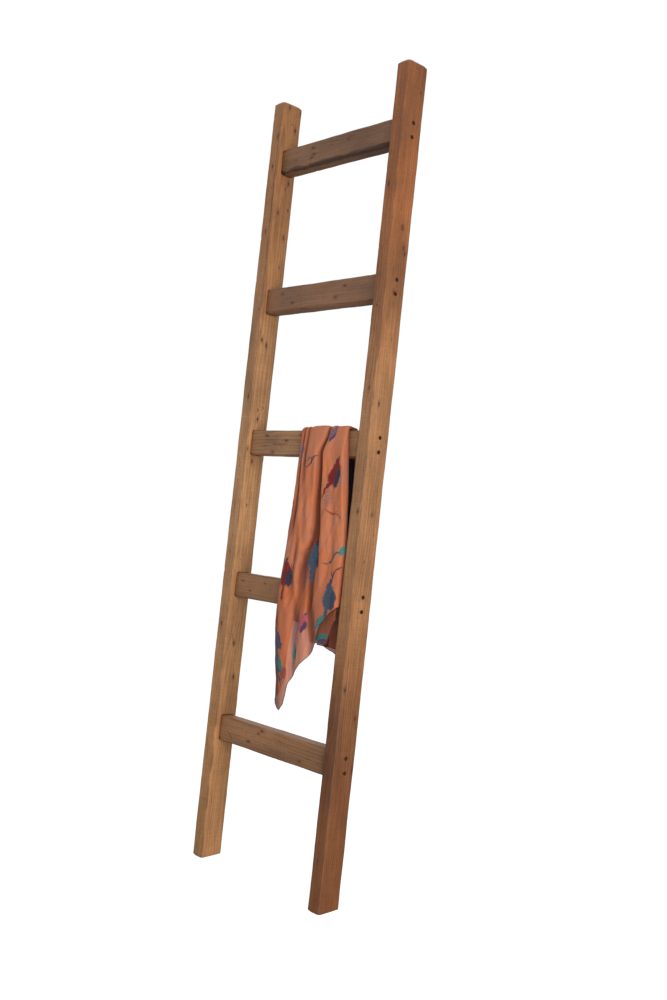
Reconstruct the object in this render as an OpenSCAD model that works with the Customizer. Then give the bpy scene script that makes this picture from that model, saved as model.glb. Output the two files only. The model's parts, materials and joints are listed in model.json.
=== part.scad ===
// Decorative ladder rack of reclaimed battens, leaning against a wall,
// with a light scarf draped over its middle rung.
// Millimetres, +Z up, +X to the right as seen from the room.
// The origin is where the wall meets the floor, midway between the rails:
// the floor is z = 0 and the wall is y = 0, and the ladder stands at y < 0.

/* [Ladder] */
// Length of each rail along its own slope
rail_length = 2000; // [1600:50:2200]
// Width of a rail, seen from the front
rail_width = 38; // [32:1:50]
// Depth of a rail, from its front face to its back face
rail_depth = 63; // [58:1:80]
// Clear space between the two rails
rail_gap = 424; // [380:2:480]
// Lean of the ladder towards the wall, in degrees from plumb
lean = 6.2; // [4:0.1:9]
// Small flat planed along each long edge
edge_ease = 1.5; // [0.5:0.1:3]

/* [Rungs] */
// Height of a rung along the slope
rung_height = 64; // [54:1:70]
// Depth of a rung
rung_depth = 38; // [32:1:40]
// How far a rung's front sits behind the front of the rails
rung_setback = 16; // [10:1:18]
// Distance from the foot to the middle of the first rung
first_rung = 340; // [320:5:360]
// Distance between the middles of two rungs
rung_spacing = 375; // [360:1:376]
// Depth of the housing in a rail that takes the end of a rung
housing_depth = 8; // [5:1:12]
// Radius of the rounded corners of a housing
housing_round = 6; // [4:1:12]
// Gap between a rung's end and the sides of its housing
housing_gap = 1.2; // [0.5:0.1:2]
// Length of rung trimmed round outside the rail
trimmed_end = 12; // [6:1:20]
// How much the trimmed end is pared down on every side
paring = 0.5; // [0.3:0.1:1]

/* [Screws] */
// Diameter of the counterbore in a rail's outer face
counterbore_d = 10; // [9.4:0.1:12]
// Depth of the counterbore
counterbore_depth = 9; // [6:1:12]
// Diameter of a screw's head
head_d = 8.2; // [7:0.1:9]
// Diameter of a screw's shank
shank_d = 4.4; // [4:0.1:5]
// Length of a screw from the top of its head to its point
screw_length = 48; // [42:1:55]
// Distance between the two screws of a joint
screw_spacing = 34; // [28:1:40]
// Distance from a rail's front face to the screws
screw_back = 36; // [28:1:44]

/* [Scarf] */
// Thickness of the gathered front tail
front_bulk = 18; // [10:1:24]
// Thickness of the gathered cloth on top of the rung
top_bulk = 11; // [6:1:16]
// Thickness of the back tail
back_bulk = 14; // [8:1:20]
// Clearance between the cloth and the rungs
cloth_gap = 0.6; // [0.4:0.1:1.5]
// Height of the hem strip along each end of the cloth
hem_height = 4; // [2:0.5:6]

/* [Hidden] */

$fn = 48;
LEFT = -1;
RIGHT = 1;
FIRST_RUNG_WITH_SCARF = 3;

// distance from the wall to the ladder's front foot edge, so that the rails'
// top back edges just touch the wall
foot_back = rail_length * sin(lean) + rail_depth * cos(lean);
rung_middle = rung_setback + rung_depth / 2;
ladder_outside = rail_gap / 2 + rail_width;
seat_depth = (head_d - shank_d) / 2;
wide = 2 * ladder_outside;

// shape of the cloth, seen from the front: [x, z] points, x from the middle
// of the ladder and z from the floor
cloth_top = 1160;
front_hem_line = [[-22, 440], [-3, 424], [20, 445], [55, 526], [90, 557],
                  [125, 610], [150, 653], [198, 700]];
front_left_side = [[-8, cloth_top], [-6, 990], [-8, 800], [-18, 690], [-24, 560]];
front_right_side = [[203, 800], [194, 950], [180, 1050], [172, 1110], [170, cloth_top]];
back_hem_line = [[12, 568], [80, 556], [110, 574], [150, 590]];
back_left_side = [[-6, cloth_top], [0, 900], [8, 640]];
back_right_side = [[150, 900], [146, cloth_top]];

// middle of rung n, measured along the slope from the foot
function rung_at(n) = first_rung + (n - 1) * rung_spacing;

// [y, z] of a point at depth t behind the rails' front and s up the slope
function on_slope(t, s) = [s * sin(lean) + t * cos(lean) - foot_back,
                           s * cos(lean) - t * sin(lean)];

// an outline shifted straight down by d
function lowered(points, d) = [for (p = points) [p[0], p[1] - d]];

// a list in the other order
function reversed(points) = [for (i = [len(points) - 1:-1:0]) points[i]];

// children are drawn upright, x across, y = depth, z up the slope
module leaned() {
    translate([0, -foot_back, 0])
        rotate([-lean, 0, 0])
            children();
}

// rectangle with its four corners planed off
module eased_rect(w, h, e) {
    polygon([[e, 0], [w - e, 0], [w, e], [w, h - e],
             [w - e, h], [e, h], [0, h - e], [0, e]]);
}

// rectangle with round corners, about its centre
module round_rect(w, h, r) {
    square([w - 2 * r, h], center = true);
    square([w, h - 2 * r], center = true);
    for (x = [-1, 1], y = [-1, 1])
        translate([x * (w / 2 - r), y * (h / 2 - r)])
            circle(r);
}

// a flat outline in (depth, up the slope) pulled out along +X by `along`
module across(x, along) {
    translate([x, 0, 0])
        rotate([90, 0, 90])
            linear_extrude(along)
                children();
}

// outline of rung n with its corners rounded, grown by `grow` on every side
module rung_end_outline(n, grow) {
    translate([rung_middle, rung_at(n)])
        round_rect(rung_depth + 2 * grow, rung_height + 2 * grow, housing_round);
}

// one screw lying along +X: head at the origin, point at screw_length
module screw() {
    recess = 0.9;
    difference() {
        rotate([0, 90, 0])
            rotate_extrude()
                polygon([[0, 0], [head_d / 2, 0], [head_d / 2, 0.6],
                         [shank_d / 2, 0.6 + seat_depth], [shank_d / 2, screw_length - 5],
                         [0, screw_length]]);
        for (turn = [0, 90])
            rotate([turn, 0, 0])
                translate([-0.1, -recess / 2, -2.4])
                    cube([1.7, recess, 4.8]);
    }
}

// children are placed at each screw of rung n on one side, pointing inwards
module at_screws(n, side) {
    for (up = [-0.5, 0.5])
        translate([side * (ladder_outside - counterbore_depth), screw_back,
                   rung_at(n) + up * screw_spacing])
            mirror([side == RIGHT ? 1 : 0, 0, 0])
                children();
}

// the hole for one screw: counterbore, seat and clearance, along +X
module screw_hole() {
    rotate([0, 90, 0]) {
        translate([0, 0, -counterbore_depth - 1])
            cylinder(d = counterbore_d, h = counterbore_depth + 1);
        rotate_extrude()
            polygon([[0, -0.1], [head_d / 2, -0.1], [head_d / 2, 0.6],
                     [shank_d / 2 + 0.3, 0.3 + seat_depth],
                     [shank_d / 2 + 0.3, rail_width], [0, rail_width]]);
    }
}

// pilot hole in a rung's end, the size of the screw that fills it
module pilot_hole() {
    rotate([0, 90, 0])
        translate([0, 0, 1])
            rotate_extrude()
                polygon([[0, 0], [shank_d / 2, 0], [shank_d / 2, screw_length - 6],
                         [0, screw_length - 1]]);
}

module rail(side) {
    color(side == LEFT ? "#b5875a" : "#a9744a")
        difference() {
            leaned()
                translate([side == LEFT ? -ladder_outside : rail_gap / 2, 0, -40])
                    linear_extrude(rail_length + 40)
                        eased_rect(rail_width, rail_depth, edge_ease);
            // the foot is cut level with the floor
            translate([-wide, -2 * foot_back, -100])
                cube([2 * wide, 3 * foot_back, 100]);
            leaned() {
                for (n = [1:5]) {
                    across(side == LEFT ? -rail_gap / 2 - housing_depth : rail_gap / 2 - 1,
                           housing_depth + 1)
                        rung_end_outline(n, housing_gap - paring);
                    at_screws(n, side)
                        screw_hole();
                }
            }
        }
}

module rung(n) {
    inside = rail_gap - 2 * trimmed_end;
    color(n > 3 ? "#6b4a38" : "#8b7556")
        leaned()
            difference() {
                union() {
                    translate([-inside / 2, rung_setback, rung_at(n) - rung_height / 2])
                        rotate([90, 0, 90])
                            linear_extrude(inside)
                                eased_rect(rung_depth, rung_height, edge_ease);
                    across(-rail_gap / 2 - housing_depth, rail_gap + 2 * housing_depth)
                        rung_end_outline(n, -paring);
                }
                for (side = [LEFT, RIGHT])
                    at_screws(n, side)
                        pilot_hole();
            }
}

module screws(n, side) {
    color("#3c3630")
        leaned()
            at_screws(n, side)
                screw();
}

// side view of the whole drape: over the rung, down the slope in front of the
// rung below, then plumb; plumb all the way at the back
module drape_side_view(low) {
    top = rung_at(FIRST_RUNG_WITH_SCARF) + rung_height / 2 + cloth_gap;
    last = rung_at(FIRST_RUNG_WITH_SCARF - 1) - rung_height / 2;
    near = rung_setback - cloth_gap;
    far = rung_setback + rung_depth + cloth_gap;
    out = near - front_bulk;
    inner_back = on_slope(far, top);
    inner_turn = on_slope(near, last);
    outer_turn = on_slope(out, last);
    outer_back = [inner_back[0] + back_bulk, inner_back[1]];
    round_over = top_bulk / 2;
    polygon([
        [inner_back[0], low], inner_back, on_slope(near, top), inner_turn,
        [inner_turn[0], low], [outer_turn[0], low], outer_turn,
        on_slope(out, top), on_slope(out + round_over, top + top_bulk),
        on_slope(far, top + top_bulk), outer_back, [outer_back[0], low]
    ]);
}

// children are an outline seen from the front, kept where the drape is in
// front of (or behind) the middle of the rung
module drape(front) {
    middle = on_slope(rung_middle, rung_at(FIRST_RUNG_WITH_SCARF))[0];
    intersection() {
        across(-wide, 2 * wide)
            drape_side_view(300);
        translate([0, front ? middle : 0, 0])
            rotate([90, 0, 0])
                linear_extrude(front ? foot_back : -middle)
                    children();
    }
}

module scarf() {
    color("#e08a66") {
        drape(true)
            polygon(concat(front_left_side, front_hem_line, front_right_side));
        drape(false)
            polygon(concat(back_left_side, back_hem_line, back_right_side));
    }
}

module front_hem() {
    color("#5a3030")
        drape(true)
            polygon(concat(front_hem_line, reversed(lowered(front_hem_line, hem_height))));
}

module back_hem() {
    color("#5a3030")
        drape(false)
            polygon(concat(back_hem_line, reversed(lowered(back_hem_line, hem_height))));
}

rail(LEFT);  // left_rail
rail(RIGHT);  // right_rail
for (n = [1:5]) {
    rung(n);
    screws(n, LEFT);
    screws(n, RIGHT);
}
scarf();
front_hem();
back_hem();
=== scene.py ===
import json
from math import cos, pi, radians, sin

import bmesh
import bpy
import numpy as np
from mathutils import Matrix, Vector

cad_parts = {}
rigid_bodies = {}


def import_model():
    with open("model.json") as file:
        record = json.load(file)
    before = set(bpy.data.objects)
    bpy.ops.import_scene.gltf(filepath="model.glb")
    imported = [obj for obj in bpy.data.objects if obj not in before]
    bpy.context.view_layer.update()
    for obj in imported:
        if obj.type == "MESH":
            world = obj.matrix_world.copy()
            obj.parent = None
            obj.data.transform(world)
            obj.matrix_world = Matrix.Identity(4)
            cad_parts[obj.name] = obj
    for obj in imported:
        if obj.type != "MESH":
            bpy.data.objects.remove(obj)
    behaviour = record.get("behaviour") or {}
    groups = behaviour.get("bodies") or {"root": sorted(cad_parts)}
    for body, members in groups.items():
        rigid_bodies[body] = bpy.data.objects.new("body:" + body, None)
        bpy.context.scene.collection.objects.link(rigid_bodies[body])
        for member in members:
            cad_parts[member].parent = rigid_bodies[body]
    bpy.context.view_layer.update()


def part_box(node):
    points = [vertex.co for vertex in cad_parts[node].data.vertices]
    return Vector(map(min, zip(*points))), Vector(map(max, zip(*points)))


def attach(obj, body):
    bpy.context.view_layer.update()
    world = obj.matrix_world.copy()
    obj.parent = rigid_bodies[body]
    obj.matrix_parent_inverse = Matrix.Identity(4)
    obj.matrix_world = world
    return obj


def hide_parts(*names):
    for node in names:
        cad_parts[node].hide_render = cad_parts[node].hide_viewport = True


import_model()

# ---------------------------------------------------------------- THE VIEW
# The ladder is seen from its right, at chest height and turned a little,
# so the outer face of the right rail and the front of the rungs both show.

eye = Vector((2.127, -1.954, 1.052))
turned = radians(48.02)
dipped = radians(-2.26)
tipped = radians(1.52)

ahead = Vector((-sin(turned) * cos(dipped), cos(turned) * cos(dipped), sin(dipped)))
level = Vector((cos(turned), sin(turned), 0))
upward = level.cross(ahead)
across = level * cos(tipped) + upward * sin(tipped)
upright = upward * cos(tipped) - level * sin(tipped)

lens = bpy.data.cameras.new("view")
lens.lens = 40.25
lens.sensor_width = 36
lens.clip_end = 60
camera = bpy.data.objects.new("view", lens)
camera.matrix_world = Matrix.Translation(eye) @ Matrix((across, upright, -ahead)).transposed().to_4x4()
bpy.context.collection.objects.link(camera)
bpy.context.scene.camera = camera

# ---------------------------------------------------------------- THE BATTENS
# Rails and rungs are lengths of one reclaimed pine batten, about 38 by 63 mm.
# It was planed square once and has since lost its corners: every long edge is
# rounded by a different amount along its length, and the faces are uneven.

lean = radians(6.2)


def add(tree, kind, inputs=None, **settings):
    """Put a node in a tree. A value is set on its socket, and a socket is linked to it."""
    made = tree.nodes.new(kind)
    for name, value in settings.items():
        setattr(made, name, value)
    for socket, value in (inputs or {}).items():
        target = made.inputs[socket]
        if isinstance(value, bpy.types.NodeSocket):
            tree.links.new(value, target)
        else:
            target.default_value = value
    return made


def sums(tree, operation, *values):
    """One scalar sum on numbers or sockets."""
    return add(tree, "ShaderNodeMath", dict(enumerate(values)), operation=operation).outputs[0]


def vectors(tree, operation, *values):
    """One vector sum. SCALE takes its factor as a second value."""
    made = add(tree, "ShaderNodeVectorMath", operation=operation)
    for number, value in enumerate(values):
        target = made.inputs["Scale"] if operation == "SCALE" and number == 1 else made.inputs[number]
        if isinstance(value, bpy.types.NodeSocket):
            tree.links.new(value, target)
        else:
            target.default_value = value
    return made.outputs["Value"] if operation in ("LENGTH", "DOT_PRODUCT", "DISTANCE") else made.outputs[0]


def ramp(tree, value, low, high, to_low=0.0, to_high=1.0):
    """Smooth step of a value between two limits."""
    steps = {"Value": value, "From Min": low, "From Max": high, "To Min": to_low, "To Max": to_high}
    return add(tree, "ShaderNodeMapRange", steps, interpolation_type="SMOOTHSTEP").outputs[0]


def noise(tree, place, scale, detail):
    """Cloudy noise from 0 to 1 at a place."""
    return add(tree, "ShaderNodeTexNoise", {"Vector": place, "Scale": scale, "Detail": detail}).outputs[0]


def sockets(tree, given, wanted):
    """Declare what a node group takes and gives, as {name: (type, default)}."""
    for name, (kind, default) in given.items():
        made = tree.interface.new_socket(name, in_out="INPUT", socket_type=kind)
        if default is not None:
            made.default_value = default
    for name, kind in wanted.items():
        tree.interface.new_socket(name, in_out="OUTPUT", socket_type=kind)
    return tree.nodes.new("NodeGroupInput").outputs, tree.nodes.new("NodeGroupOutput")


def batten_tree():
    """A worn batten, its length along local Z, then turned and put in its place."""
    tree = bpy.data.node_groups.new("Worn batten", "GeometryNodeTree")
    given, result = sockets(tree, {
        "Width": ("NodeSocketFloat", 0.038),
        "Depth": ("NodeSocketFloat", 0.063),
        "Length": ("NodeSocketFloat", 2.0),
        "Rows": ("NodeSocketInt", 500),
        "Edge Wear": ("NodeSocketFloat", 0.003),
        "End Trim": ("NodeSocketFloat", 0.0),
        "Trim Radius": ("NodeSocketFloat", 0.009),
        "Wane": ("NodeSocketFloat", 0.0),
        "Unevenness": ("NodeSocketFloat", 0.0006),
        "Seed": ("NodeSocketFloat", 0.0),
        "Turn": ("NodeSocketVector", None),
        "Place": ("NodeSocketVector", None),
        "Material": ("NodeSocketMaterial", None),
    }, {"Geometry": "NodeSocketGeometry"})

    size = add(tree, "ShaderNodeCombineXYZ", {
        0: given["Width"], 1: given["Depth"], 2: given["Length"]}).outputs[0]
    blank = add(tree, "GeometryNodeMeshCube", {
        "Size": size, "Vertices X": 15, "Vertices Y": 19, "Vertices Z": given["Rows"]}).outputs[0]
    point = add(tree, "GeometryNodeInputPosition").outputs[0]
    x, y, z = add(tree, "ShaderNodeSeparateXYZ", {0: point}).outputs
    half_w = sums(tree, "MULTIPLY", given["Width"], 0.5)
    half_d = sums(tree, "MULTIPLY", given["Depth"], 0.5)
    half_l = sums(tree, "MULTIPLY", given["Length"], 0.5)

    # rows crowd towards the corners, where the shape turns
    def crowded(value, half):
        share = sums(tree, "DIVIDE", value, half)
        curved = sums(tree, "SINE", sums(tree, "MULTIPLY", share, pi / 2))
        even_part, curved_part = sums(tree, "MULTIPLY", share, 0.25), sums(tree, "MULTIPLY", curved, 0.75)
        return sums(tree, "MULTIPLY", sums(tree, "ADD", even_part, curved_part), half)

    x = crowded(x, half_w)
    y = crowded(y, half_d)

    # how round the corner is here: general wear, nicks, trimmed ends and wane
    seeded = add(tree, "ShaderNodeCombineXYZ", {
        0: given["Seed"], 1: given["Seed"], 2: given["Seed"]}).outputs[0]
    place = vectors(tree, "ADD", point, seeded)
    long_place = vectors(tree, "MULTIPLY", place, (30.0, 30.0, 9.0))
    slow = noise(tree, long_place, 1.0, 3.0)
    nick_place = vectors(tree, "MULTIPLY", place, (40.0, 40.0, 55.0))
    nick = noise(tree, nick_place, 1.0, 2.0)
    wear = sums(tree, "MULTIPLY", given["Edge Wear"], ramp(tree, slow, 0.25, 0.75, 0.45, 1.5))
    nicks = ramp(tree, nick, 0.62, 0.74, 0.0, 0.0022)
    wear = sums(tree, "ADD", wear, nicks)
    to_end = sums(tree, "SUBTRACT", half_l, sums(tree, "ABSOLUTE", z))
    trim_start = sums(tree, "MULTIPLY_ADD", given["End Trim"], 1.5, 0.0001)
    trimming = sums(tree, "SUBTRACT", 1.0, ramp(tree, to_end, given["End Trim"], trim_start))
    trimmed = sums(tree, "MULTIPLY", trimming, given["Trim Radius"])
    wear = sums(tree, "MAXIMUM", wear, trimmed)
    corner = sums(tree, "MULTIPLY", sums(tree, "LESS_THAN", x, 0.0), sums(tree, "LESS_THAN", y, 0.0))
    wane = sums(tree, "MULTIPLY", given["Wane"], ramp(tree, slow, 0.3, 0.7, 0.55, 1.15))
    wear = sums(tree, "MAXIMUM", wear, sums(tree, "MULTIPLY", corner, wane))

    # pull the square section back to round corners of that radius
    def core(value, half):
        edge = sums(tree, "SUBTRACT", half, wear)
        return sums(tree, "MAXIMUM", sums(tree, "MINIMUM", value, edge), sums(tree, "MULTIPLY", edge, -1.0))

    core_x, core_y = core(x, half_w), core(y, half_d)
    square = add(tree, "ShaderNodeCombineXYZ", {0: x, 1: y}).outputs[0]
    inner = add(tree, "ShaderNodeCombineXYZ", {0: core_x, 1: core_y}).outputs[0]
    arm = vectors(tree, "SUBTRACT", square, inner)
    reach = sums(tree, "MINIMUM", vectors(tree, "LENGTH", arm), wear)
    rounded = vectors(tree, "ADD", inner, vectors(tree, "SCALE", vectors(tree, "NORMALIZE", arm), reach))
    # the end grain loses its rim too, and a rung's trimmed end is pared down
    rim = sums(tree, "MULTIPLY", sums(tree, "LESS_THAN", to_end, 0.0005), 0.0014)
    pared = sums(tree, "ADD", rim, sums(tree, "MULTIPLY", trimming, 0.0005))
    keep = sums(tree, "SUBTRACT", 1.0, sums(tree, "DIVIDE", pared, half_w))
    rounded = vectors(tree, "SCALE", rounded, keep)
    upright_z = add(tree, "ShaderNodeCombineXYZ", {2: z}).outputs[0]
    shaped = add(tree, "GeometryNodeSetPosition", {
        "Geometry": blank, "Position": vectors(tree, "ADD", rounded, upright_z)}).outputs[0]

    # faces cup and wander a little
    normal = add(tree, "GeometryNodeInputNormal").outputs[0]
    point = add(tree, "GeometryNodeInputPosition").outputs[0]
    rough_place = vectors(tree, "MULTIPLY", vectors(tree, "ADD", point, seeded), (60.0, 60.0, 14.0))
    bumps = noise(tree, rough_place, 1.0, 2.0)
    highest = sums(tree, "MULTIPLY", given["Unevenness"], 2.0)
    lift = sums(tree, "MULTIPLY", sums(tree, "SUBTRACT", bumps, 0.5), highest)
    shaped = add(tree, "GeometryNodeSetPosition", {
        "Geometry": shaped, "Offset": vectors(tree, "SCALE", normal, lift)}).outputs[0]

    turn = add(tree, "FunctionNodeEulerToRotation", {0: given["Turn"]}).outputs[0]
    placed = add(tree, "GeometryNodeTransform", {
        "Geometry": shaped, "Translation": given["Place"], "Rotation": turn}).outputs[0]
    smooth = add(tree, "GeometryNodeSetShadeSmooth", {"Geometry": placed}).outputs[0]
    real = add(tree, "GeometryNodeRealizeInstances", {"Geometry": smooth}).outputs[0]
    ready = add(tree, "GeometryNodeSetMaterial", {"Geometry": real, "Material": given["Material"]}).outputs[0]
    tree.links.new(ready, result.inputs[0])
    return tree


batten = batten_tree()


def grow(name, tree, values, cutter=None):
    """Run a Geometry Nodes tree, cut the holes and give the plain mesh that comes out."""
    piece = bpy.data.objects.new(name, bpy.data.meshes.new(name))
    bpy.context.collection.objects.link(piece)
    nodes = piece.modifiers.new("shape", "NODES")
    nodes.node_group = tree
    for socket in tree.interface.items_tree:
        if socket.in_out == "INPUT" and socket.name in values:
            nodes[socket.identifier] = values[socket.name]
    if cutter:
        cut = piece.modifiers.new("holes", "BOOLEAN")
        cut.object = cutter
        cut.solver = "MANIFOLD"
        cut.material_mode = "TRANSFER"
    seen = piece.evaluated_get(bpy.context.evaluated_depsgraph_get())
    plain = bpy.data.meshes.new_from_object(seen)
    piece.modifiers.clear()
    blank = piece.data
    piece.data = plain
    bpy.data.meshes.remove(blank)
    plain.name = name
    if cutter:
        bpy.data.objects.remove(cutter)
    return piece


# ---------------------------------------------------------------- PINE
# Old softwood, sanded and waxed: pale spring wood and darker summer wood in
# rings round a heart outside the batten, fine fibres, knots and stains.


def mix(tree, share, first, second):
    """One colour, or so much of a second."""
    return add(tree, "ShaderNodeMix", {0: share, 6: first, 7: second}, data_type="RGBA").outputs[2]


def pine_group():
    """Rings, fibres and blotches of pine. Vector is in the batten's own directions."""
    tree = bpy.data.node_groups.new("Pine", "ShaderNodeTree")
    given, result = sockets(tree, {
        "Vector": ("NodeSocketVector", None),
        "Heart": ("NodeSocketVector", (0.05, 0.04, 0.0)),
        "Rings Per Metre": ("NodeSocketFloat", 260.0),
        "Bend": ("NodeSocketFloat", 0.0),
        "Seed": ("NodeSocketFloat", 0.0),
        "Spring Wood": ("NodeSocketColor", (0.4, 0.2, 0.1, 1)),
        "Summer Wood": ("NodeSocketColor", (0.2, 0.1, 0.05, 1)),
        "Stain": ("NodeSocketColor", (0.1, 0.07, 0.05, 1)),
        "Stain Amount": ("NodeSocketFloat", 0.4),
    }, {"Color": "NodeSocketColor", "Roughness": "NodeSocketFloat", "Height": "NodeSocketFloat"})
    seeded = add(tree, "ShaderNodeCombineXYZ", {
        0: given["Seed"], 1: given["Seed"], 2: given["Seed"]}).outputs[0]
    place = vectors(tree, "ADD", given["Vector"], seeded)

    def grain(scale, detail, roughness=0.55):
        stretched = vectors(tree, "MULTIPLY", place, scale)
        return add(tree, "ShaderNodeTexNoise", {
            "Vector": stretched, "Scale": 1.0, "Detail": detail, "Roughness": roughness}).outputs

    drift = vectors(tree, "SUBTRACT", grain((9.0, 9.0, 1.6), 2.0)[1], (0.5, 0.5, 0.5))
    wandering = vectors(tree, "ADD", given["Vector"], vectors(tree, "SCALE", drift, 0.045))
    from_heart = vectors(tree, "SUBTRACT", wandering, given["Heart"])
    distance = vectors(tree, "LENGTH", vectors(tree, "MULTIPLY", from_heart, (1.0, 1.0, 0.0)))
    counted = sums(tree, "MULTIPLY", sums(tree, "ADD", distance, given["Bend"]), given["Rings Per Metre"])
    counted = sums(tree, "ADD", counted, sums(tree, "MULTIPLY", grain((70.0, 70.0, 8.0), 2.0)[0], 0.7))
    phase = sums(tree, "FRACT", counted)
    summer = sums(tree, "MULTIPLY", ramp(tree, phase, 0.25, 0.93), ramp(tree, phase, 1.0, 0.94))
    fibres = grain((1300.0, 1300.0, 16.0), 3.0, 0.6)[0]
    streaks = grain((220.0, 220.0, 3.0), 2.0)[0]
    blotches = grain((14.0, 14.0, 4.0), 4.0, 0.6)[0]
    flecks = grain((900.0, 900.0, 60.0), 1.0)[0]
    dashes = grain((330.0, 330.0, 26.0), 1.0)[0]
    pin_knots = grain((150.0, 150.0, 95.0), 1.0)[0]

    ripple = grain((24.0, 24.0, 360.0), 1.0)[0]
    clouds = grain((5.0, 5.0, 2.4), 3.0, 0.6)[0]
    darkness = sums(tree, "MULTIPLY", summer, ramp(tree, blotches, 0.25, 0.75, 0.12, 0.75))
    ringed = mix(tree, darkness, given["Spring Wood"], given["Summer Wood"])
    toned = mix(tree, ramp(tree, streaks, 0.35, 0.75, 0.0, 0.5), ringed, given["Summer Wood"])
    soiled = sums(tree, "MULTIPLY", given["Stain Amount"], ramp(tree, blotches, 0.42, 0.72))
    stained = mix(tree, soiled, toned, given["Stain"])
    # each of these lightens or darkens the wood: where it starts and ends, then the two factors
    brightness = ramp(tree, fibres, 0.25, 0.8, 0.82, 1.14)
    for pattern, start, end, first, last in (
            (flecks, 0.68, 0.8, 1.0, 0.65), (ripple, 0.3, 0.7, 0.94, 1.05), (clouds, 0.3, 0.7, 0.74, 1.20),
            (dashes, 0.64, 0.76, 1.0, 0.60), (pin_knots, 0.73, 0.79, 1.0, 0.42)):
        brightness = sums(tree, "MULTIPLY", brightness, ramp(tree, pattern, start, end, first, last))
    final = vectors(tree, "SCALE", stained, brightness)
    tree.links.new(final, result.inputs["Color"])
    dull = sums(tree, "ADD", ramp(tree, fibres, 0.2, 0.8, 0.40, 0.62), sums(tree, "MULTIPLY", soiled, 0.12))
    tree.links.new(dull, result.inputs["Roughness"])
    relief = sums(tree, "ADD", sums(tree, "MULTIPLY", fibres, 0.5), sums(tree, "MULTIPLY", summer, 0.4))
    relief = sums(tree, "ADD", relief, sums(tree, "MULTIPLY", streaks, 0.5))
    tree.links.new(relief, result.inputs["Height"])
    return tree


def spot_group():
    """A knot or an iron stain: a dark core and a softer halo round a point."""
    tree = bpy.data.node_groups.new("Knot", "ShaderNodeTree")
    given, result = sockets(tree, {
        "Vector": ("NodeSocketVector", None),
        "Centre": ("NodeSocketVector", None),
        "Radius": ("NodeSocketFloat", 0.008),
        "Stretch": ("NodeSocketFloat", 1.5),
        "Core So Far": ("NodeSocketFloat", 0.0),
        "Halo So Far": ("NodeSocketFloat", 0.0),
    }, {"Core": "NodeSocketFloat", "Halo": "NodeSocketFloat"})
    away = vectors(tree, "SUBTRACT", given["Vector"], given["Centre"])
    ax, ay, az = add(tree, "ShaderNodeSeparateXYZ", {0: away}).outputs
    squeezed_z = sums(tree, "DIVIDE", az, given["Stretch"])
    squeezed = add(tree, "ShaderNodeCombineXYZ", {0: ax, 1: ay, 2: squeezed_z}).outputs[0]
    ragged = noise(tree, given["Vector"], 160.0, 2.0)
    near = sums(tree, "DIVIDE", vectors(tree, "LENGTH", squeezed), given["Radius"])
    near = sums(tree, "ADD", near, sums(tree, "MULTIPLY", sums(tree, "SUBTRACT", ragged, 0.5), 0.9))
    core = sums(tree, "MAXIMUM", ramp(tree, near, 1.05, 0.55), given["Core So Far"])
    halo = sums(tree, "MAXIMUM", ramp(tree, near, 2.8, 0.7), given["Halo So Far"])
    tree.links.new(core, result.inputs["Core"])
    tree.links.new(halo, result.inputs["Halo"])
    return tree


def worn_edge_group():
    """Where hands, floors and other battens have rubbed: the long corners of a section."""
    tree = bpy.data.node_groups.new("Worn edge", "ShaderNodeTree")
    given, result = sockets(tree, {
        "Vector": ("NodeSocketVector", None),
        "Half Width": ("NodeSocketFloat", 0.019),
        "Half Depth": ("NodeSocketFloat", 0.0315),
        "Reach": ("NodeSocketFloat", 0.004),
    }, {"Edge": "NodeSocketFloat"})
    x, y, z = add(tree, "ShaderNodeSeparateXYZ", {0: given["Vector"]}).outputs
    from_side = sums(tree, "SUBTRACT", given["Half Width"], sums(tree, "ABSOLUTE", x))
    from_front = sums(tree, "SUBTRACT", given["Half Depth"], sums(tree, "ABSOLUTE", y))
    apart = sums(tree, "ADD", sums(tree, "MAXIMUM", from_side, 0.0), sums(tree, "MAXIMUM", from_front, 0.0))
    uneven = noise(tree, vectors(tree, "MULTIPLY", given["Vector"], (60.0, 60.0, 14.0)), 1.0, 3.0)
    reached = sums(tree, "MULTIPLY", given["Reach"], ramp(tree, uneven, 0.3, 0.7, 0.1, 1.6))
    tree.links.new(sums(tree, "SUBTRACT", 1.0, ramp(tree, apart, 0.0, reached)), result.inputs["Edge"])
    return tree


pine, knot_spot, worn_edge = pine_group(), spot_group(), worn_edge_group()


def pine_spots(tree, own, spots, size, stretch):
    """The cores and the halos of knots or nails, each (x, y, z, radius) in the batten's own directions."""
    core, halo = 0.0, 0.0
    for x, y, z, radius in spots:
        core, halo = add(tree, "ShaderNodeGroup", {
            "Vector": own, "Centre": (x, y, z), "Radius": radius * size, "Stretch": stretch,
            "Core So Far": core, "Halo So Far": halo}, node_tree=knot_spot).outputs
    return core, halo


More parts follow.
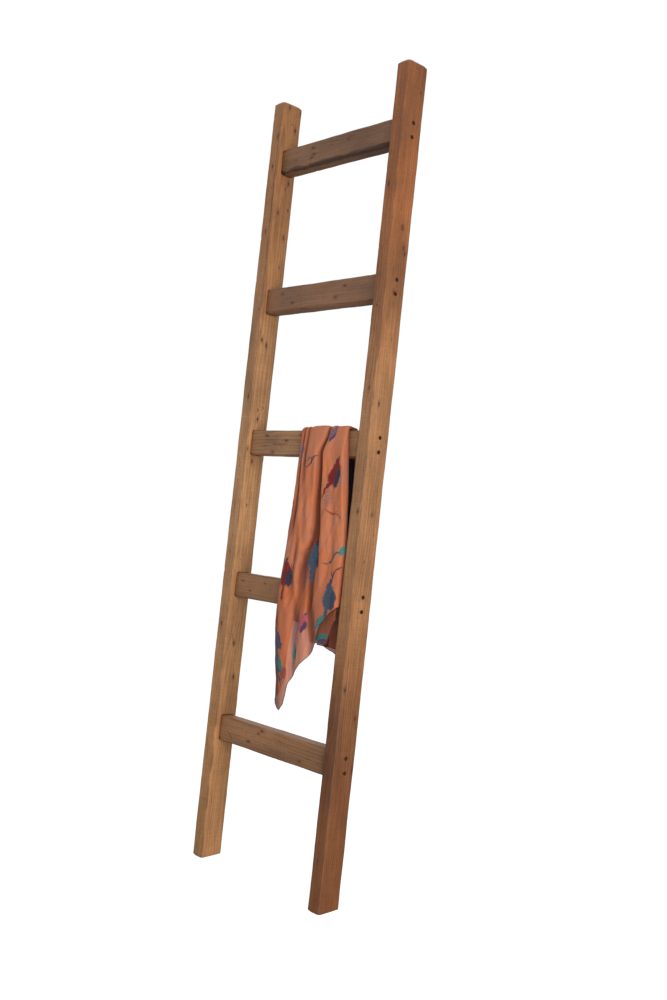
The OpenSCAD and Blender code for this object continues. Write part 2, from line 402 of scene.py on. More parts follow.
def pine_material(name, turn, place, half_width, half_depth, seed, spring, summer, stain,
                  heart, rings, knots=(), nails=(), wane=0.0, ends=()):
    """Waxed old pine for one batten. Knots and nails are (x, y, z, radius) in its own directions."""
    made = bpy.data.materials.new(name)
    made.use_nodes = True
    tree = made.node_tree
    surface = tree.nodes["Principled BSDF"]
    where = add(tree, "ShaderNodeTexCoord").outputs["Object"]
    own = add(tree, "ShaderNodeMapping", {"Vector": where, "Location": place, "Rotation": turn},
              vector_type="TEXTURE").outputs[0]
    core, halo = pine_spots(tree, own, knots, 0.62, 1.9)
    iron, dust = pine_spots(tree, own, nails, 1.0, 2.4)
    figure = add(tree, "ShaderNodeGroup", {
        "Vector": own, "Heart": heart, "Rings Per Metre": rings, "Seed": seed, "Spring Wood": spring,
        "Summer Wood": summer, "Stain": stain, "Stain Amount": 0.45}, node_tree=pine)
    colour = figure.outputs["Color"]
    height = figure.outputs["Height"]
    if knots:
        tree.links.new(sums(tree, "MULTIPLY", halo, 0.012), figure.inputs["Bend"])
        reddened = mix(tree, sums(tree, "MULTIPLY", halo, 0.38), colour, (0.20, 0.062, 0.022, 1))
        colour = mix(tree, sums(tree, "MULTIPLY", core, 0.72), reddened, (0.062, 0.020, 0.010, 1))
    if nails:
        rusty = mix(tree, sums(tree, "MULTIPLY", dust, 0.5), colour, (0.09, 0.035, 0.02, 1))
        colour = mix(tree, sums(tree, "MULTIPLY", iron, 0.8), rusty, (0.02, 0.009, 0.006, 1))
    # painted light and shade along the batten: its colour is scaled by a middle tint and blended towards a
    # top and a foot tint
    if ends:
        along = add(tree, "ShaderNodeSeparateXYZ", {0: own}).outputs[2]
        middle, top, foot = (vectors(tree, "MULTIPLY", colour, tint) for tint in ends)
        colour = mix(tree, ramp(tree, along, 0.12, 0.75), middle, top)
        colour = mix(tree, ramp(tree, along, -0.12, -0.75), colour, foot)
    edge = add(tree, "ShaderNodeGroup", {
        "Vector": own, "Half Width": half_width, "Half Depth": half_depth}, node_tree=worn_edge)
    colour = mix(tree, sums(tree, "MULTIPLY", edge.outputs[0], 0.8), colour, stain)
    if wane:
        x, y, z = add(tree, "ShaderNodeSeparateXYZ", {0: own}).outputs
        corner_x = sums(tree, "ADD", x, half_width)
        corner_y = sums(tree, "ADD", y, half_depth)
        ragged = noise(tree, vectors(tree, "MULTIPLY", own, (50.0, 50.0, 18.0)), 1.0, 3.0)
        to_corner = sums(tree, "ADD", corner_x, corner_y)
        apart = sums(tree, "ADD", to_corner, sums(tree, "MULTIPLY", ragged, 0.016))
        bark = ramp(tree, apart, wane * 1.5, wane * 1.15)
        colour = mix(tree, sums(tree, "MULTIPLY", bark, 0.8), colour, (0.05, 0.024, 0.016, 1))
    tree.links.new(colour, surface.inputs["Base Color"])
    tree.links.new(figure.outputs["Roughness"], surface.inputs["Roughness"])
    surface.inputs["Specular IOR Level"].default_value = 0.42
    bump = add(tree, "ShaderNodeBump", {"Height": height, "Strength": 0.45, "Distance": 0.0006})
    tree.links.new(bump.outputs[0], surface.inputs["Normal"])
    return made


def hole_material():
    """The inside of drilled holes, nail holes and splits: dark, dusty end grain."""
    made = bpy.data.materials.new("dark_hole")
    made.use_nodes = True
    tree = made.node_tree
    surface = tree.nodes["Principled BSDF"]
    where = add(tree, "ShaderNodeTexCoord").outputs["Object"]
    dust = noise(tree, where, 700.0, 2.0)
    colour = mix(tree, dust, (0.07, 0.026, 0.013, 1), (0.20, 0.085, 0.042, 1))
    tree.links.new(colour, surface.inputs["Base Color"])
    surface.inputs["Roughness"].default_value = 0.9
    return made


dark_hole = hole_material()

# ---------------------------------------------------------------- THE RAILS
# Two uprights. Each has five shallow housings on its inner face for the rungs,
# two counterbored screw holes for each rung from its outer face, and the nail
# holes and splits of its first life.

rail_low, rail_high = (Vector(corner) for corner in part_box("right_rail"))
rail_width = rail_high.x - rail_low.x
rail_length = rail_high.z / cos(lean)
foot_back = rail_high.y - rail_low.y
rail_depth = (foot_back - rail_length * sin(lean)) / cos(lean)
rung_count = 5


def on_slope(x, back, along):
    """A point at x, so far behind the rails' front face and so far up the slope."""
    return Vector((x, along * sin(lean) + back * cos(lean) - foot_back, along * cos(lean) - back * sin(lean)))


def up_slope(point):
    """How far behind the rails' front a point is, and how far up the slope."""
    y = point.y + foot_back
    return y * cos(lean) - point.z * sin(lean), y * sin(lean) + point.z * cos(lean)


def box_middle(node):
    low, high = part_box(node)
    return (Vector(low) + Vector(high)) / 2


def prism(work, outline, base, along):
    """Add a closed prism to a bmesh: outline points from base, pushed along a vector."""
    near = [work.verts.new(base + point) for point in outline]
    far = [work.verts.new(base + point + along) for point in outline]
    work.faces.new(list(reversed(near)))
    work.faces.new(far)
    for number in range(len(outline)):
        after = (number + 1) % len(outline)
        work.faces.new((near[number], near[after], far[after], far[number]))


def round_hole(work, mouth, inward, radius, depth, sides=20):
    """A drilled hole: starts a little outside its mouth and goes inward."""
    inward = inward.normalized()
    first = inward.orthogonal().normalized()
    second = inward.cross(first)
    outline = [first * radius * cos(2 * pi * k / sides) + second * radius * sin(2 * pi * k / sides)
               for k in range(sides)]
    prism(work, outline, mouth - inward * 0.004, inward * (depth + 0.004))


def split(work, start, end, inward, width, depth, seed, stations=24):
    """A drying split: a jagged V that opens and closes between two points on a face."""
    draw = np.random.default_rng(seed)
    along = end - start
    sideways = along.cross(inward).normalized()
    rows = []
    for number in range(stations + 1):
        share = number / stations
        half = 0.5 * width * (0.12 + sin(pi * share) ** 0.6) * draw.uniform(0.55, 1.15)
        middle = start + along * share + sideways * draw.normal(0, width * 0.35)
        out = middle - inward * 0.003
        rows.append([work.verts.new(out - sideways * half), work.verts.new(out + sideways * half),
                     work.verts.new(middle + inward * depth * (0.3 + 0.7 * sin(pi * share)))])
    for low, high in zip(rows, rows[1:]):
        for a, b in ((0, 1), (1, 2), (2, 0)):
            work.faces.new((low[a], low[b], high[b], high[a]))
    work.faces.new(list(reversed(rows[0])))
    work.faces.new(rows[-1])


def cutter_from(work, name):
    """Close up a bmesh of cutting shapes into an object that a boolean can use."""
    bmesh.ops.recalc_face_normals(work, faces=work.faces)
    mesh = bpy.data.meshes.new(name)
    work.to_mesh(mesh)
    work.free()
    mesh.materials.append(dark_hole)
    made = bpy.data.objects.new(name, mesh)
    bpy.context.collection.objects.link(made)
    return made


def housing_outline(width, height, radius, steps=6):
    """Round-cornered rectangle in the plane of a rail's face, as the router leaves it."""
    back, up = Vector((0, cos(lean), -sin(lean))), Vector((0, sin(lean), cos(lean)))
    points = []
    for quarter, (a, b) in enumerate(((1, 1), (-1, 1), (-1, -1), (1, -1))):
        for step in range(steps + 1):
            angle = pi / 2 * (quarter + step / steps)
            points.append(back * (a * (width / 2 - radius) + radius * cos(angle))
                          + up * (b * (height / 2 - radius) + radius * sin(angle)))
    return points


screw_spacing = 0.034
counterbore_radius = 0.005
counterbore_depth = 0.0098
housing_depth = 0.008
rung_depth = 0.038
rung_height = 0.064

rail_turn = Matrix.Rotation(-lean, 3, "X").to_euler()
# the ends tints (middle, top, foot) are painted light and shade: both rails are brightened in their middles,
# the left one also at its foot where the scarf's shadow falls on it, their tops are darkened, and the right
# rail's dark foot is partly stain and partly painted shade
rail_wood = {
    "left": dict(
        spring=(0.52, 0.255, 0.100, 1), summer=(0.29, 0.122, 0.042, 1), stain=(0.16, 0.075, 0.034, 1),
        heart=(0.062, -0.035, 0.0), rings=240.0, seed=3.1,
        ends=((1.20, 1.28, 1.42), (0.80, 0.74, 0.70), (1.22, 1.22, 1.26))),
    "right": dict(
        spring=(0.385, 0.165, 0.066, 1), summer=(0.22, 0.080, 0.027, 1), stain=(0.135, 0.052, 0.021, 1),
        heart=(-0.045, 0.05, 0.0), rings=230.0, seed=8.4,
        ends=((1.24, 1.40, 1.48), (1.08, 0.88, 0.66), (0.72, 0.60, 0.46))),
}
# knots: (x across, depth behind the front, distance up the slope, radius)
rail_knots = {
    "left": [(0.019, 0.0216, 1.990, 0.006), (0.019, 0.020, 1.705, 0.006), (0.019, 0.052, 1.719, 0.0035),
             (0.019, 0.047, 1.644, 0.0055), (0.019, 0.036, 1.773, 0.003), (0.019, 0.044, 1.563, 0.003),
             (0.019, 0.024, 1.041, 0.006), (0.019, 0.006, 1.072, 0.004), (0.019, 0.025, 1.177, 0.004),
             (0.019, 0.041, 1.185, 0.003), (0.019, 0.060, 1.985, 0.005), (0.0, 0.0, 1.652, 0.006),
             (-0.004, 0.0, 0.610, 0.007), (0.019, 0.022, 0.924, 0.003), (-0.019, 0.034, 1.25, 0.009),
             (-0.019, 0.028, 0.52, 0.008)],
    "right": [(0.019, 0.036, 1.606, 0.009), (0.019, 0.046, 1.560, 0.007), (0.019, 0.029, 1.452, 0.006),
              (0.019, 0.0496, 1.934, 0.005), (0.019, 0.036, 0.925, 0.0045), (0.019, 0.028, 0.815, 0.003),
              (0.019, 0.050, 0.45, 0.007), (-0.019, 0.030, 1.31, 0.009), (-0.019, 0.022, 0.58, 0.008),
              (0.002, 0.0, 1.22, 0.006)],
}
# old nail holes on the inner (+1) or outer (-1) face of a rail, and on its front (0)
rail_nails = {
    "left": [(1, 0.047, 1.935), (1, 0.044, 1.790), (1, 0.029, 1.351), (1, 0.013, 1.362), (1, 0.027, 1.153),
             (0, 0.008, 1.907), (0, -0.001, 1.827), (0, 0.004, 1.21), (1, 0.030, 0.560), (1, 0.041, 0.471),
             (-1, 0.020, 1.66), (-1, 0.048, 0.83)],
    "right": [(-1, 0.052, 1.547), (-1, 0.009, 0.517), (-1, 0.059, 0.330), (-1, 0.020, 1.185),
              (0, -0.006, 1.705), (0, 0.007, 0.930), (1, 0.028, 1.28), (1, 0.044, 0.57)],
}

for side, sign in (("left", -1), ("right", 1)):
    middle_x = sign * (rail_high.x - rail_width / 2)
    place = on_slope(middle_x, rail_depth / 2, rail_length / 2)
    work = bmesh.new()
    inner_x = middle_x - sign * rail_width / 2
    outer_x = middle_x + sign * rail_width / 2
    for number in range(1, rung_count + 1):
        rung_centre = box_middle(f"rung_{number}")
        outline = housing_outline(rung_depth + 0.0014, rung_height + 0.0014, 0.006)
        mouth = Vector((inner_x - sign * 0.003, rung_centre.y, rung_centre.z))
        prism(work, outline, mouth, Vector((sign * (housing_depth + 0.003), 0, 0)))
        screws = box_middle(f"screws_rung_{number}_{side}")
        for way in (-0.5, 0.5):
            hole = screws + Vector((0, sin(lean), cos(lean))) * screw_spacing * way
            round_hole(work, Vector((outer_x, hole.y, hole.z)), Vector((-sign, 0, 0)),
                       counterbore_radius, counterbore_depth)
    spots = []
    for face, offset, up in rail_nails[side]:
        if face == 0:
            mouth, inward = on_slope(middle_x + offset, 0.0, up), Vector((0, cos(lean), -sin(lean)))
        else:
            x = inner_x if face == 1 else outer_x
            mouth, inward = on_slope(x, offset, up), Vector((sign if face == 1 else -sign, 0, 0))
        round_hole(work, mouth, inward, 0.0013, 0.005, 10)
        back, along = up_slope(mouth)
        spots.append((mouth.x - middle_x, back - rail_depth / 2, along - rail_length / 2, 0.0026))
    if side == "left":
        split(work, on_slope(middle_x + 0.011, 0, 1.985), on_slope(middle_x + 0.016, 0, 1.50),
              Vector((0, cos(lean), -sin(lean))), 0.0026, 0.009, 5, 60)
        split(work, on_slope(middle_x - 0.006, 0, 1.06), on_slope(middle_x - 0.002, 0, 0.84),
              Vector((0, cos(lean), -sin(lean))), 0.0012, 0.004, 6)
        split(work, on_slope(inner_x, 0.050, 0.66), on_slope(inner_x, 0.046, 0.50),
              Vector((sign, 0, 0)), 0.0009, 0.004, 7)
    else:
        split(work, on_slope(outer_x, 0.012, 0.60), on_slope(outer_x, 0.016, 0.36),
              Vector((-sign, 0, 0)), 0.0008, 0.004, 8)
        split(work, on_slope(outer_x, 0.006, 1.075), on_slope(outer_x, 0.012, 1.035),
              Vector((-sign, 0, 0)), 0.0014, 0.003, 9, 10)
        split(work, on_slope(middle_x + 0.004, 0, 1.42), on_slope(middle_x + 0.001, 0, 1.20),
              Vector((0, cos(lean), -sin(lean))), 0.0010, 0.004, 10)
    # the foot is cut level, to stand on the floor
    floor_edge = on_slope(middle_x - 0.03, rail_depth / 2, 0.0)
    floor_edge.z = 0.0
    below = [Vector((0, -0.06, 0)), Vector((0, 0.06, 0)), Vector((0, 0.06, -0.03)), Vector((0, -0.06, -0.03))]
    prism(work, below, floor_edge, Vector((0.06, 0, 0)))
    knots = [(x, back - rail_depth / 2, up - rail_length / 2, radius)
             for x, back, up, radius in rail_knots[side]]
    wood = pine_material(f"{side}_rail_pine", rail_turn, place, rail_width / 2, rail_depth / 2,
                         knots=knots, nails=spots, **rail_wood[side])
    rail = grow(f"{side}_rail_worn", batten, {
        "Width": rail_width, "Depth": rail_depth, "Length": rail_length, "Rows": 501, "Edge Wear": 0.0026,
        "Unevenness": 0.0005, "Seed": rail_wood[side]["seed"], "Turn": tuple(rail_turn),
        "Place": tuple(place), "Material": wood}, cutter_from(work, f"{side}_rail_cutter"))
    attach(rail, "ladder")
    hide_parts(f"{side}_rail")

# ---------------------------------------------------------------- THE RUNGS
# Five crosspieces sawn from the same batten, set on edge. Their ends were
# rounded off by hand with a knife to push into the housings, and the lower
# front corner of some still shows the round of the tree.

rung_turn = Matrix(((0, 0, 1), (cos(lean), sin(lean), 0), (-sin(lean), cos(lean), 0))).to_euler()
# three tones of the same pine for the rungs below; the two upper rungs take the darkest
mid_tone = dict(
    spring=(0.42, 0.205, 0.090, 1), summer=(0.23, 0.105, 0.045, 1), stain=(0.12, 0.062, 0.032, 1))
pale_tone = dict(
    spring=(0.50, 0.255, 0.115, 1), summer=(0.28, 0.130, 0.058, 1), stain=(0.15, 0.080, 0.042, 1))
dark_tone = dict(
    spring=(0.32, 0.152, 0.074, 1), summer=(0.18, 0.082, 0.040, 1), stain=(0.095, 0.050, 0.029, 1))
# for each rung: tone, wane, unevenness, then on its front knots as (X, up from its middle, radius)
# and nail holes as (X, up from its middle)
rung_looks = {
    1: (mid_tone, 0.0, 0.0007, [(-0.040, 0.024, 0.006), (-0.054, 0.015, 0.005), (0.11, -0.018, 0.005)],
        [(-0.09, -0.012)]),
    2: (mid_tone, 0.006, 0.0008, [(-0.183, 0.012, 0.004), (-0.150, -0.010, 0.004), (-0.093, 0.014, 0.0035)],
        [(0.12, 0.008)]),
    3: (pale_tone, 0.0, 0.0008, [(-0.120, -0.024, 0.006), (-0.016, 0.020, 0.004)],
        [(-0.069, 0.006), (-0.150, 0.018)]),
    4: (dark_tone, 0.007, 0.0016, [(-0.150, 0.015, 0.005), (0.060, -0.012, 0.006)],
        [(-0.105, -0.012), (0.090, 0.014)]),
    5: (dark_tone, 0.013, 0.0009, [(0.045, 0.012, 0.006), (-0.155, -0.006, 0.004)],
        [(-0.088, 0.015), (-0.084, -0.002), (-0.091, -0.010)]),
}

# splits in a rung's front: from and to as (X, up from its middle), width, depth, seed, steps
rung_splits = {
    1: [((-0.176, -0.004), (-0.158, -0.022), 0.0016, 0.0025, 13, 8),
        ((-0.185, 0.004), (-0.170, -0.016), 0.0012, 0.0020, 14, 8)],
    2: [((-0.060, 0.018), (0.070, 0.016), 0.0007, 0.004, 17, 24)],
    3: [((-0.125, -0.004), (-0.060, -0.003), 0.0016, 0.006, 11, 24),
        ((-0.087, -0.003), (-0.086, -0.026), 0.0008, 0.004, 12, 10)],
    5: [((-0.060, 0.018), (0.070, 0.016), 0.0007, 0.004, 20, 24)],
}

for number, (tone, wane, uneven, knots, nails) in rung_looks.items():
    low, high = (Vector(corner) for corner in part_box(f"rung_{number}"))
    length = high.x - low.x
    place = (low + high) / 2
    outward = Vector((0, -cos(lean), sin(lean)))
    up = Vector((0, sin(lean), cos(lean)))
    front = place + outward * rung_depth / 2
    work = bmesh.new()
    for x, height in nails:
        round_hole(work, front + Vector((x, 0, 0)) + up * height, -outward, 0.0014, 0.006, 10)
    for start, end, width, depth, seed, steps in rung_splits.get(number, []):
        start, end = (front + Vector((x, 0, 0)) + up * height for x, height in (start, end))
        split(work, start, end, -outward, width, depth, seed, steps)
    wood = pine_material(
        f"rung_{number}_pine", rung_turn, place, rung_depth / 2, rung_height / 2, seed=11.3 * number,
        heart=((0.03, -0.06, 0.0), (0.05, 0.05, 0.0))[number % 2], rings=210.0 + 17 * number,
        knots=[(-rung_depth / 2, height, x, radius) for x, height, radius in knots],
        nails=[(-rung_depth / 2, height, x, 0.0026) for x, height in nails], wane=wane, **tone)
    rung = grow(f"rung_{number}_worn", batten, {
        "Width": rung_depth, "Depth": rung_height, "Length": length, "Rows": 151, "Edge Wear": 0.0030,
        "End Trim": 0.010, "Trim Radius": 0.006, "Wane": wane, "Unevenness": uneven, "Seed": 11.3 * number,
        "Turn": tuple(rung_turn), "Place": tuple(place), "Material": wood},
        cutter_from(work, f"rung_{number}_cutter"))
    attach(rung, "ladder")
    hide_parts(f"rung_{number}")

# ---------------------------------------------------------------- THE SCREWS
# Ten pairs of steel wood screws, their heads sunk in the counterbores. They
# have gone nearly black with age.


def screw_material():
    made = bpy.data.materials.new("old_steel")
    made.use_nodes = True
    tree = made.node_tree
    surface = tree.nodes["Principled BSDF"]
    where = add(tree, "ShaderNodeTexCoord").outputs["Object"]
    rust = noise(tree, where, 420.0, 4.0)
    spread = ramp(tree, rust, 0.42, 0.62)
    colour = mix(tree, spread, (0.06, 0.055, 0.05, 1), (0.10, 0.045, 0.022, 1))
    tree.links.new(colour, surface.inputs["Base Color"])
    bare = sums(tree, "SUBTRACT", 0.85, sums(tree, "MULTIPLY", spread, 0.7))
    tree.links.new(bare, surface.inputs["Metallic"])
    tree.links.new(ramp(tree, rust, 0.3, 0.7, 0.35, 0.8), surface.inputs["Roughness"])
    bump = add(tree, "ShaderNodeBump", {"Height": rust, "Strength": 0.3, "Distance": 0.0003})
    tree.links.new(bump.outputs[0], surface.inputs["Normal"])
    return made


old_steel = screw_material()
for node in [node for node in bpy.data.objects if node.name.startswith("screws_rung_")]:
    for slot in node.material_slots:
        slot.material = old_steel

# ---------------------------------------------------------------- THE SCARF
# A square of thin printed voile, 90 cm each way, thrown over the third rung
# corner to corner. It has bunched into six layers of loose pleats; the front
# corner hangs lower than the back one, past the second rung.

scarf_side = 0.90
rung_three_front = 0.0154
rung_three_back = 0.0546
rung_three_top = 1.1226
rung_two_under = 0.683
fold_radius = 0.004
turn_length = 0.014
top_length = rung_three_back - rung_three_front - 2 * fold_radius
back_start = 2 * turn_length + top_length
knee = rung_two_under - (rung_three_top - fold_radius)

front_turn = on_slope(0, rung_three_front + fold_radius, rung_three_top - fold_radius)
back_turn = on_slope(0, rung_three_back - fold_radius, rung_three_top - fold_radius)
knee_z = front_turn.z + knee * cos(lean)


def front_way(z):
    """How far along the scarf's path a height on the front is. It is negative there."""
    return np.where(z > knee_z, (z - front_turn.z) / cos(lean), knee - (knee_z - z))


def hang(way, out):
    """Points (y, z) of the path up the front, over the rung and down the back, out from it."""
    y = np.zeros_like(way)
    z = np.zeros_like(way)
    reach = fold_radius + out
    slope = np.minimum(way, 0)
    below = np.clip(knee - slope, 0, None)
    slope = np.maximum(slope, knee)
    front = way < 0
    y[front] = (front_turn.y - cos(lean) * reach + sin(lean) * slope)[front]
    z[front] = (front_turn.z + sin(lean) * reach + cos(lean) * slope - below)[front]
    angle = np.clip(way / turn_length, 0, 1) * pi / 2
    turning = (way >= 0) & (way < turn_length + top_length)
    along = np.clip(way - turn_length, 0, top_length)
    turned_y = (sin(lean) * np.sin(angle) - cos(lean) * np.cos(angle)) * reach
    turned_z = (cos(lean) * np.sin(angle) + sin(lean) * np.cos(angle)) * reach
    y[turning] = (front_turn.y + turned_y + along * cos(lean))[turning]
    z[turning] = (front_turn.z + turned_z - along * sin(lean))[turning]
    angle = (1 - np.clip((way - turn_length - top_length) / turn_length, 0, 1)) * (pi / 2 - lean)
    behind = way >= turn_length + top_length
    down = np.clip(way - back_start, 0, None)
    y[behind] = (back_turn.y + np.cos(angle) * reach)[behind]
    z[behind] = (back_turn.z + np.sin(angle) * reach - down)[behind]
    return y, z


# Pleats, layer by layer from one side corner to the other, as (share of the
# width, millimetres out from the rung). The first and last layers end inside.
under_layers = [
    (0.62, 2.4), (0.50, 1.9), (0.36, 2.9), (0.22, 2.6), (0.10, 3.2), (0.045, 3.7),
    (0.035, 4.6), (0.08, 5.0), (0.18, 4.2), (0.30, 4.8), (0.42, 3.8), (0.49, 2.6), (0.56, 3.8),
    (0.66, 5.2), (0.80, 4.8), (0.90, 6.2), (0.94, 6.8),
    (0.945, 8.2), (0.90, 8.2), (0.80, 6.6), (0.66, 7.2), (0.56, 5.2), (0.49, 3.7), (0.42, 5.2),
    (0.30, 6.6), (0.18, 5.8), (0.08, 6.8), (0.02, 6.6)]
last_layers = [
    (0.995, 5.0), (0.96, 3.1), (0.85, 2.3), (0.70, 1.7), (0.58, 1.3), (0.49, 0.9), (0.36, 1.6),
    (0.20, 1.5), (0.08, 1.2), (0.03, 0.9), (0.03, 0.4), (0.12, 0.3), (0.26, 0.6), (0.40, 0.3), (0.52, 0.3)]
# the outer layer changes on its way down: on the rung, under it, above the second rung, beside it, below it
outer_layer = [
    [(0.0, 8.0), (0.0, 9.4), (0.04, 12.0), (0.08, 8.8), (0.12, 13.5), (0.17, 9.6), (0.24, 15.0), (0.36, 17.5),
     (0.50, 17.0), (0.565, 14.0), (0.60, 6.0), (0.635, 11.5), (0.68, 16.5), (0.76, 15.0), (0.84, 15.5),
     (0.92, 16.5), (0.98, 14.4), (1.0, 10.0)],
    [(0.0, 8.0), (0.0, 9.4), (0.035, 13.0), (0.07, 8.4), (0.11, 15.0), (0.155, 9.2), (0.22, 17.0),
     (0.33, 18.5), (0.42, 17.5), (0.46, 8.0), (0.49, 5.4), (0.525, 13.0), (0.57, 19.5), (0.68, 15.5),
     (0.80, 16.0), (0.91, 20.0), (0.975, 18.4), (1.0, 11.5)],
    [(0.0, 8.0), (0.0, 9.4), (0.05, 12.5), (0.095, 9.0), (0.135, 15.5), (0.18, 19.5), (0.26, 18.0),
     (0.35, 20.5), (0.425, 18.4), (0.465, 8.4), (0.51, 5.6), (0.55, 8.0), (0.59, 16.5), (0.66, 20.8),
     (0.79, 15.4), (0.91, 20.0), (0.975, 18.4), (1.0, 11.5)],
    [(0.0, 8.0), (0.0, 9.4), (0.06, 15.5), (0.12, 18.6), (0.17, 17.4), (0.205, 9.6), (0.245, 17.0),
     (0.28, 20.6), (0.33, 11.6), (0.40, 8.6), (0.47, 12.5), (0.54, 7.2), (0.60, 15.0), (0.68, 20.4),
     (0.79, 16.4), (0.90, 20.0), (0.975, 18.4), (1.0, 11.5)],
    [(0.0, 7.0), (0.0, 8.6), (0.06, 14.0), (0.13, 18.8), (0.21, 19.6), (0.27, 17.4), (0.31, 9.6), (0.35, 8.2),
     (0.40, 11.4), (0.46, 15.6), (0.52, 15.4), (0.58, 9.8), (0.64, 11.4), (0.72, 17.6), (0.80, 17.8),
     (0.90, 17.0), (0.97, 14.4), (1.0, 10.0)]]
layer_heights = np.array([1.115, 1.05, 0.90, 0.775, 0.64])
tables = [np.array(under_layers + outer + last_layers) for outer in outer_layer]
controls = len(tables[0])
first_outer = len(under_layers)
last_outer = first_outer + len(outer_layer[0]) - 1

# the cloth's left and right edges at each height, and its hem along the front, from the floor
front_left = np.array([(-0.027, 0.415), (-0.029, 0.44), (-0.026, 0.49), (-0.031, 0.54), (-0.030, 0.60),
                       (-0.025, 0.69), (-0.016, 0.79), (-0.010, 0.86), (-0.004, 0.95), (0.0, 1.05),
                       (-0.004, 1.12), (-0.004, 1.16)])
front_right = np.array([(0.204, 0.42), (0.205, 0.82), (0.193, 0.95), (0.178, 1.05), (0.169, 1.10),
                        (0.166, 1.16)])
front_hem_line = np.array([(-0.031, 0.434), (-0.018, 0.418), (-0.006, 0.414), (0.018, 0.437), (0.036, 0.487),
                           (0.055, 0.521), (0.088, 0.552), (0.108, 0.577), (0.125, 0.604), (0.150, 0.648),
                           (0.178, 0.678), (0.205, 0.698)])
back_hem_line = np.array([(0.0, 0.600), (0.014, 0.578), (0.03, 0.568), (0.06, 0.556), (0.085, 0.550),
                          (0.11, 0.557), (0.15, 0.590)])


def spline_weights(places):
    """Catmull-Rom weights of every control point at places along the sequence of pleats."""
    weights = np.zeros((len(places), controls))
    cell = np.clip(np.floor(places).astype(int), 0, controls - 2)
    t = places - cell
    shares = (-0.5 * t + t ** 2 - 0.5 * t ** 3, 1 - 2.5 * t ** 2 + 1.5 * t ** 3,
              0.5 * t + 2 * t ** 2 - 1.5 * t ** 3, -0.5 * t ** 2 + 0.5 * t ** 3)
    rows = np.arange(len(places))
    for step, share in zip((-1, 0, 1, 2), shares):
        np.add.at(weights, (rows, np.clip(cell + step, 0, controls - 1)), share)
    return weights


def smooth_step(value, low, high):
    share = np.clip((value - low) / (high - low), 0, 1)
    return share * share * (3 - 2 * share)


def pleats(weights, z):
    """Share of the width and distance out, for columns (by their weights) at heights z."""
    shares = [weights @ table for table in tables]
    share = np.zeros_like(z)
    out = np.zeros_like(z)
    blend = 1.0
    for number in range(len(tables) - 1):
        lower = 1 - smooth_step(z, layer_heights[number + 1], layer_heights[number])
        part = blend * (1 - lower)
        share += part * shares[number][:, :1]
        out += part * shares[number][:, 1:]
        blend = blend * lower
    share += blend * shares[-1][:, :1]
    out += blend * shares[-1][:, 1:]
    return share, out / 1000


def edges_at(z, table):
    order = np.argsort(table[:, 1])
    return np.interp(z, table[order, 1], table[order, 0])


# the cloth's own width, measured along the pleats and averaged over several heights
fine_places = np.linspace(0, controls - 1, 1600)
fine_weights = spline_weights(fine_places)
girth = np.zeros(len(fine_places))
for z in (1.10, 0.98, 0.86, 0.76, 0.66):
    share, out = pleats(fine_weights, np.full((len(fine_places), 1), z))
    x = share[:, 0] * (edges_at(z, front_right) - edges_at(z, front_left))
    steps = np.hypot(np.diff(x), np.diff(out[:, 0]))
    girth += np.concatenate([[0], np.cumsum(steps)]) / 5

scarf_columns = 340
scarf_rows = 250
tip_place = first_outer + 3.1
tip_girth = np.interp(tip_place, fine_places, girth)
column_girth = np.linspace(0, girth[-1], scarf_columns)
column_place = np.interp(column_girth, girth, fine_places)
column_weights = spline_weights(column_place)
column_across = column_girth - tip_girth

# where each column ends on the front and on the back
front_hem_z = np.full((scarf_columns, 1), 0.6)
for turn in range(8):
    share, out = pleats(column_weights, front_hem_z)
    left_x = edges_at(front_hem_z, front_left)
    right_x = edges_at(front_hem_z, front_right)
    x = left_x + (right_x - left_x) * share
    front_hem_z = 0.5 * front_hem_z + 0.5 * np.interp(x, front_hem_line[:, 0], front_hem_line[:, 1])
front_end = front_way(front_hem_z[:, 0])
share, out = pleats(column_weights, np.full((scarf_columns, 1), 1.06))
back_hem_z = np.interp(0.15 * share[:, 0], back_hem_line[:, 0], back_hem_line[:, 1])
back_end = back_start + back_turn.z - back_hem_z

side_corner = -0.075
corner_z = front_turn.z + side_corner * cos(lean)
left_fold, right_fold = np.interp((first_outer + 0.5, last_outer), fine_places, girth) - tip_girth
reach_left = (column_across - column_across[0]) / (left_fold - column_across[0])
reach_right = (column_across[-1] - column_across) / (column_across[-1] - right_fold)
# the hidden layers' hems, as (share of the way out from the corner, height)
left_hem = np.array([(0, corner_z), (0.18, 0.96), (0.36, 0.80), (0.50, 0.715), (0.62, 0.660),
                     (0.67, 0.605), (0.775, 0.600), (0.80, 0.640), (0.885, 0.645), (0.90, 0.600),
                     (0.915, 0.545), (0.94, 0.492), (0.97, 0.458), (1.0, 0.440)])
right_hem = np.array([(0, corner_z), (0.25, 0.93), (0.45, 0.80), (0.70, 0.735), (0.90, 0.715),
                      (1.0, 0.702)])
on_outer = (column_across > left_fold) & (column_across < right_fold)
inner_left = reach_left < 1
inner_right = reach_right < 1
front_end[inner_left] = front_way(np.interp(reach_left, left_hem[:, 0], left_hem[:, 1]))[inner_left]
front_end[inner_right] = front_way(np.interp(reach_right, right_hem[:, 0], right_hem[:, 1]))[inner_right]
back_corner = side_corner + 0.004
low_back = back_start + back_turn.z - 0.574
for inner, reach_out, steepness in ((inner_left, reach_left, 1.35), (inner_right, reach_right, 1.30)):
    hanging = back_corner + (low_back - back_corner) * np.minimum(1, reach_out * steepness)
    back_end[inner] = hanging[inner]

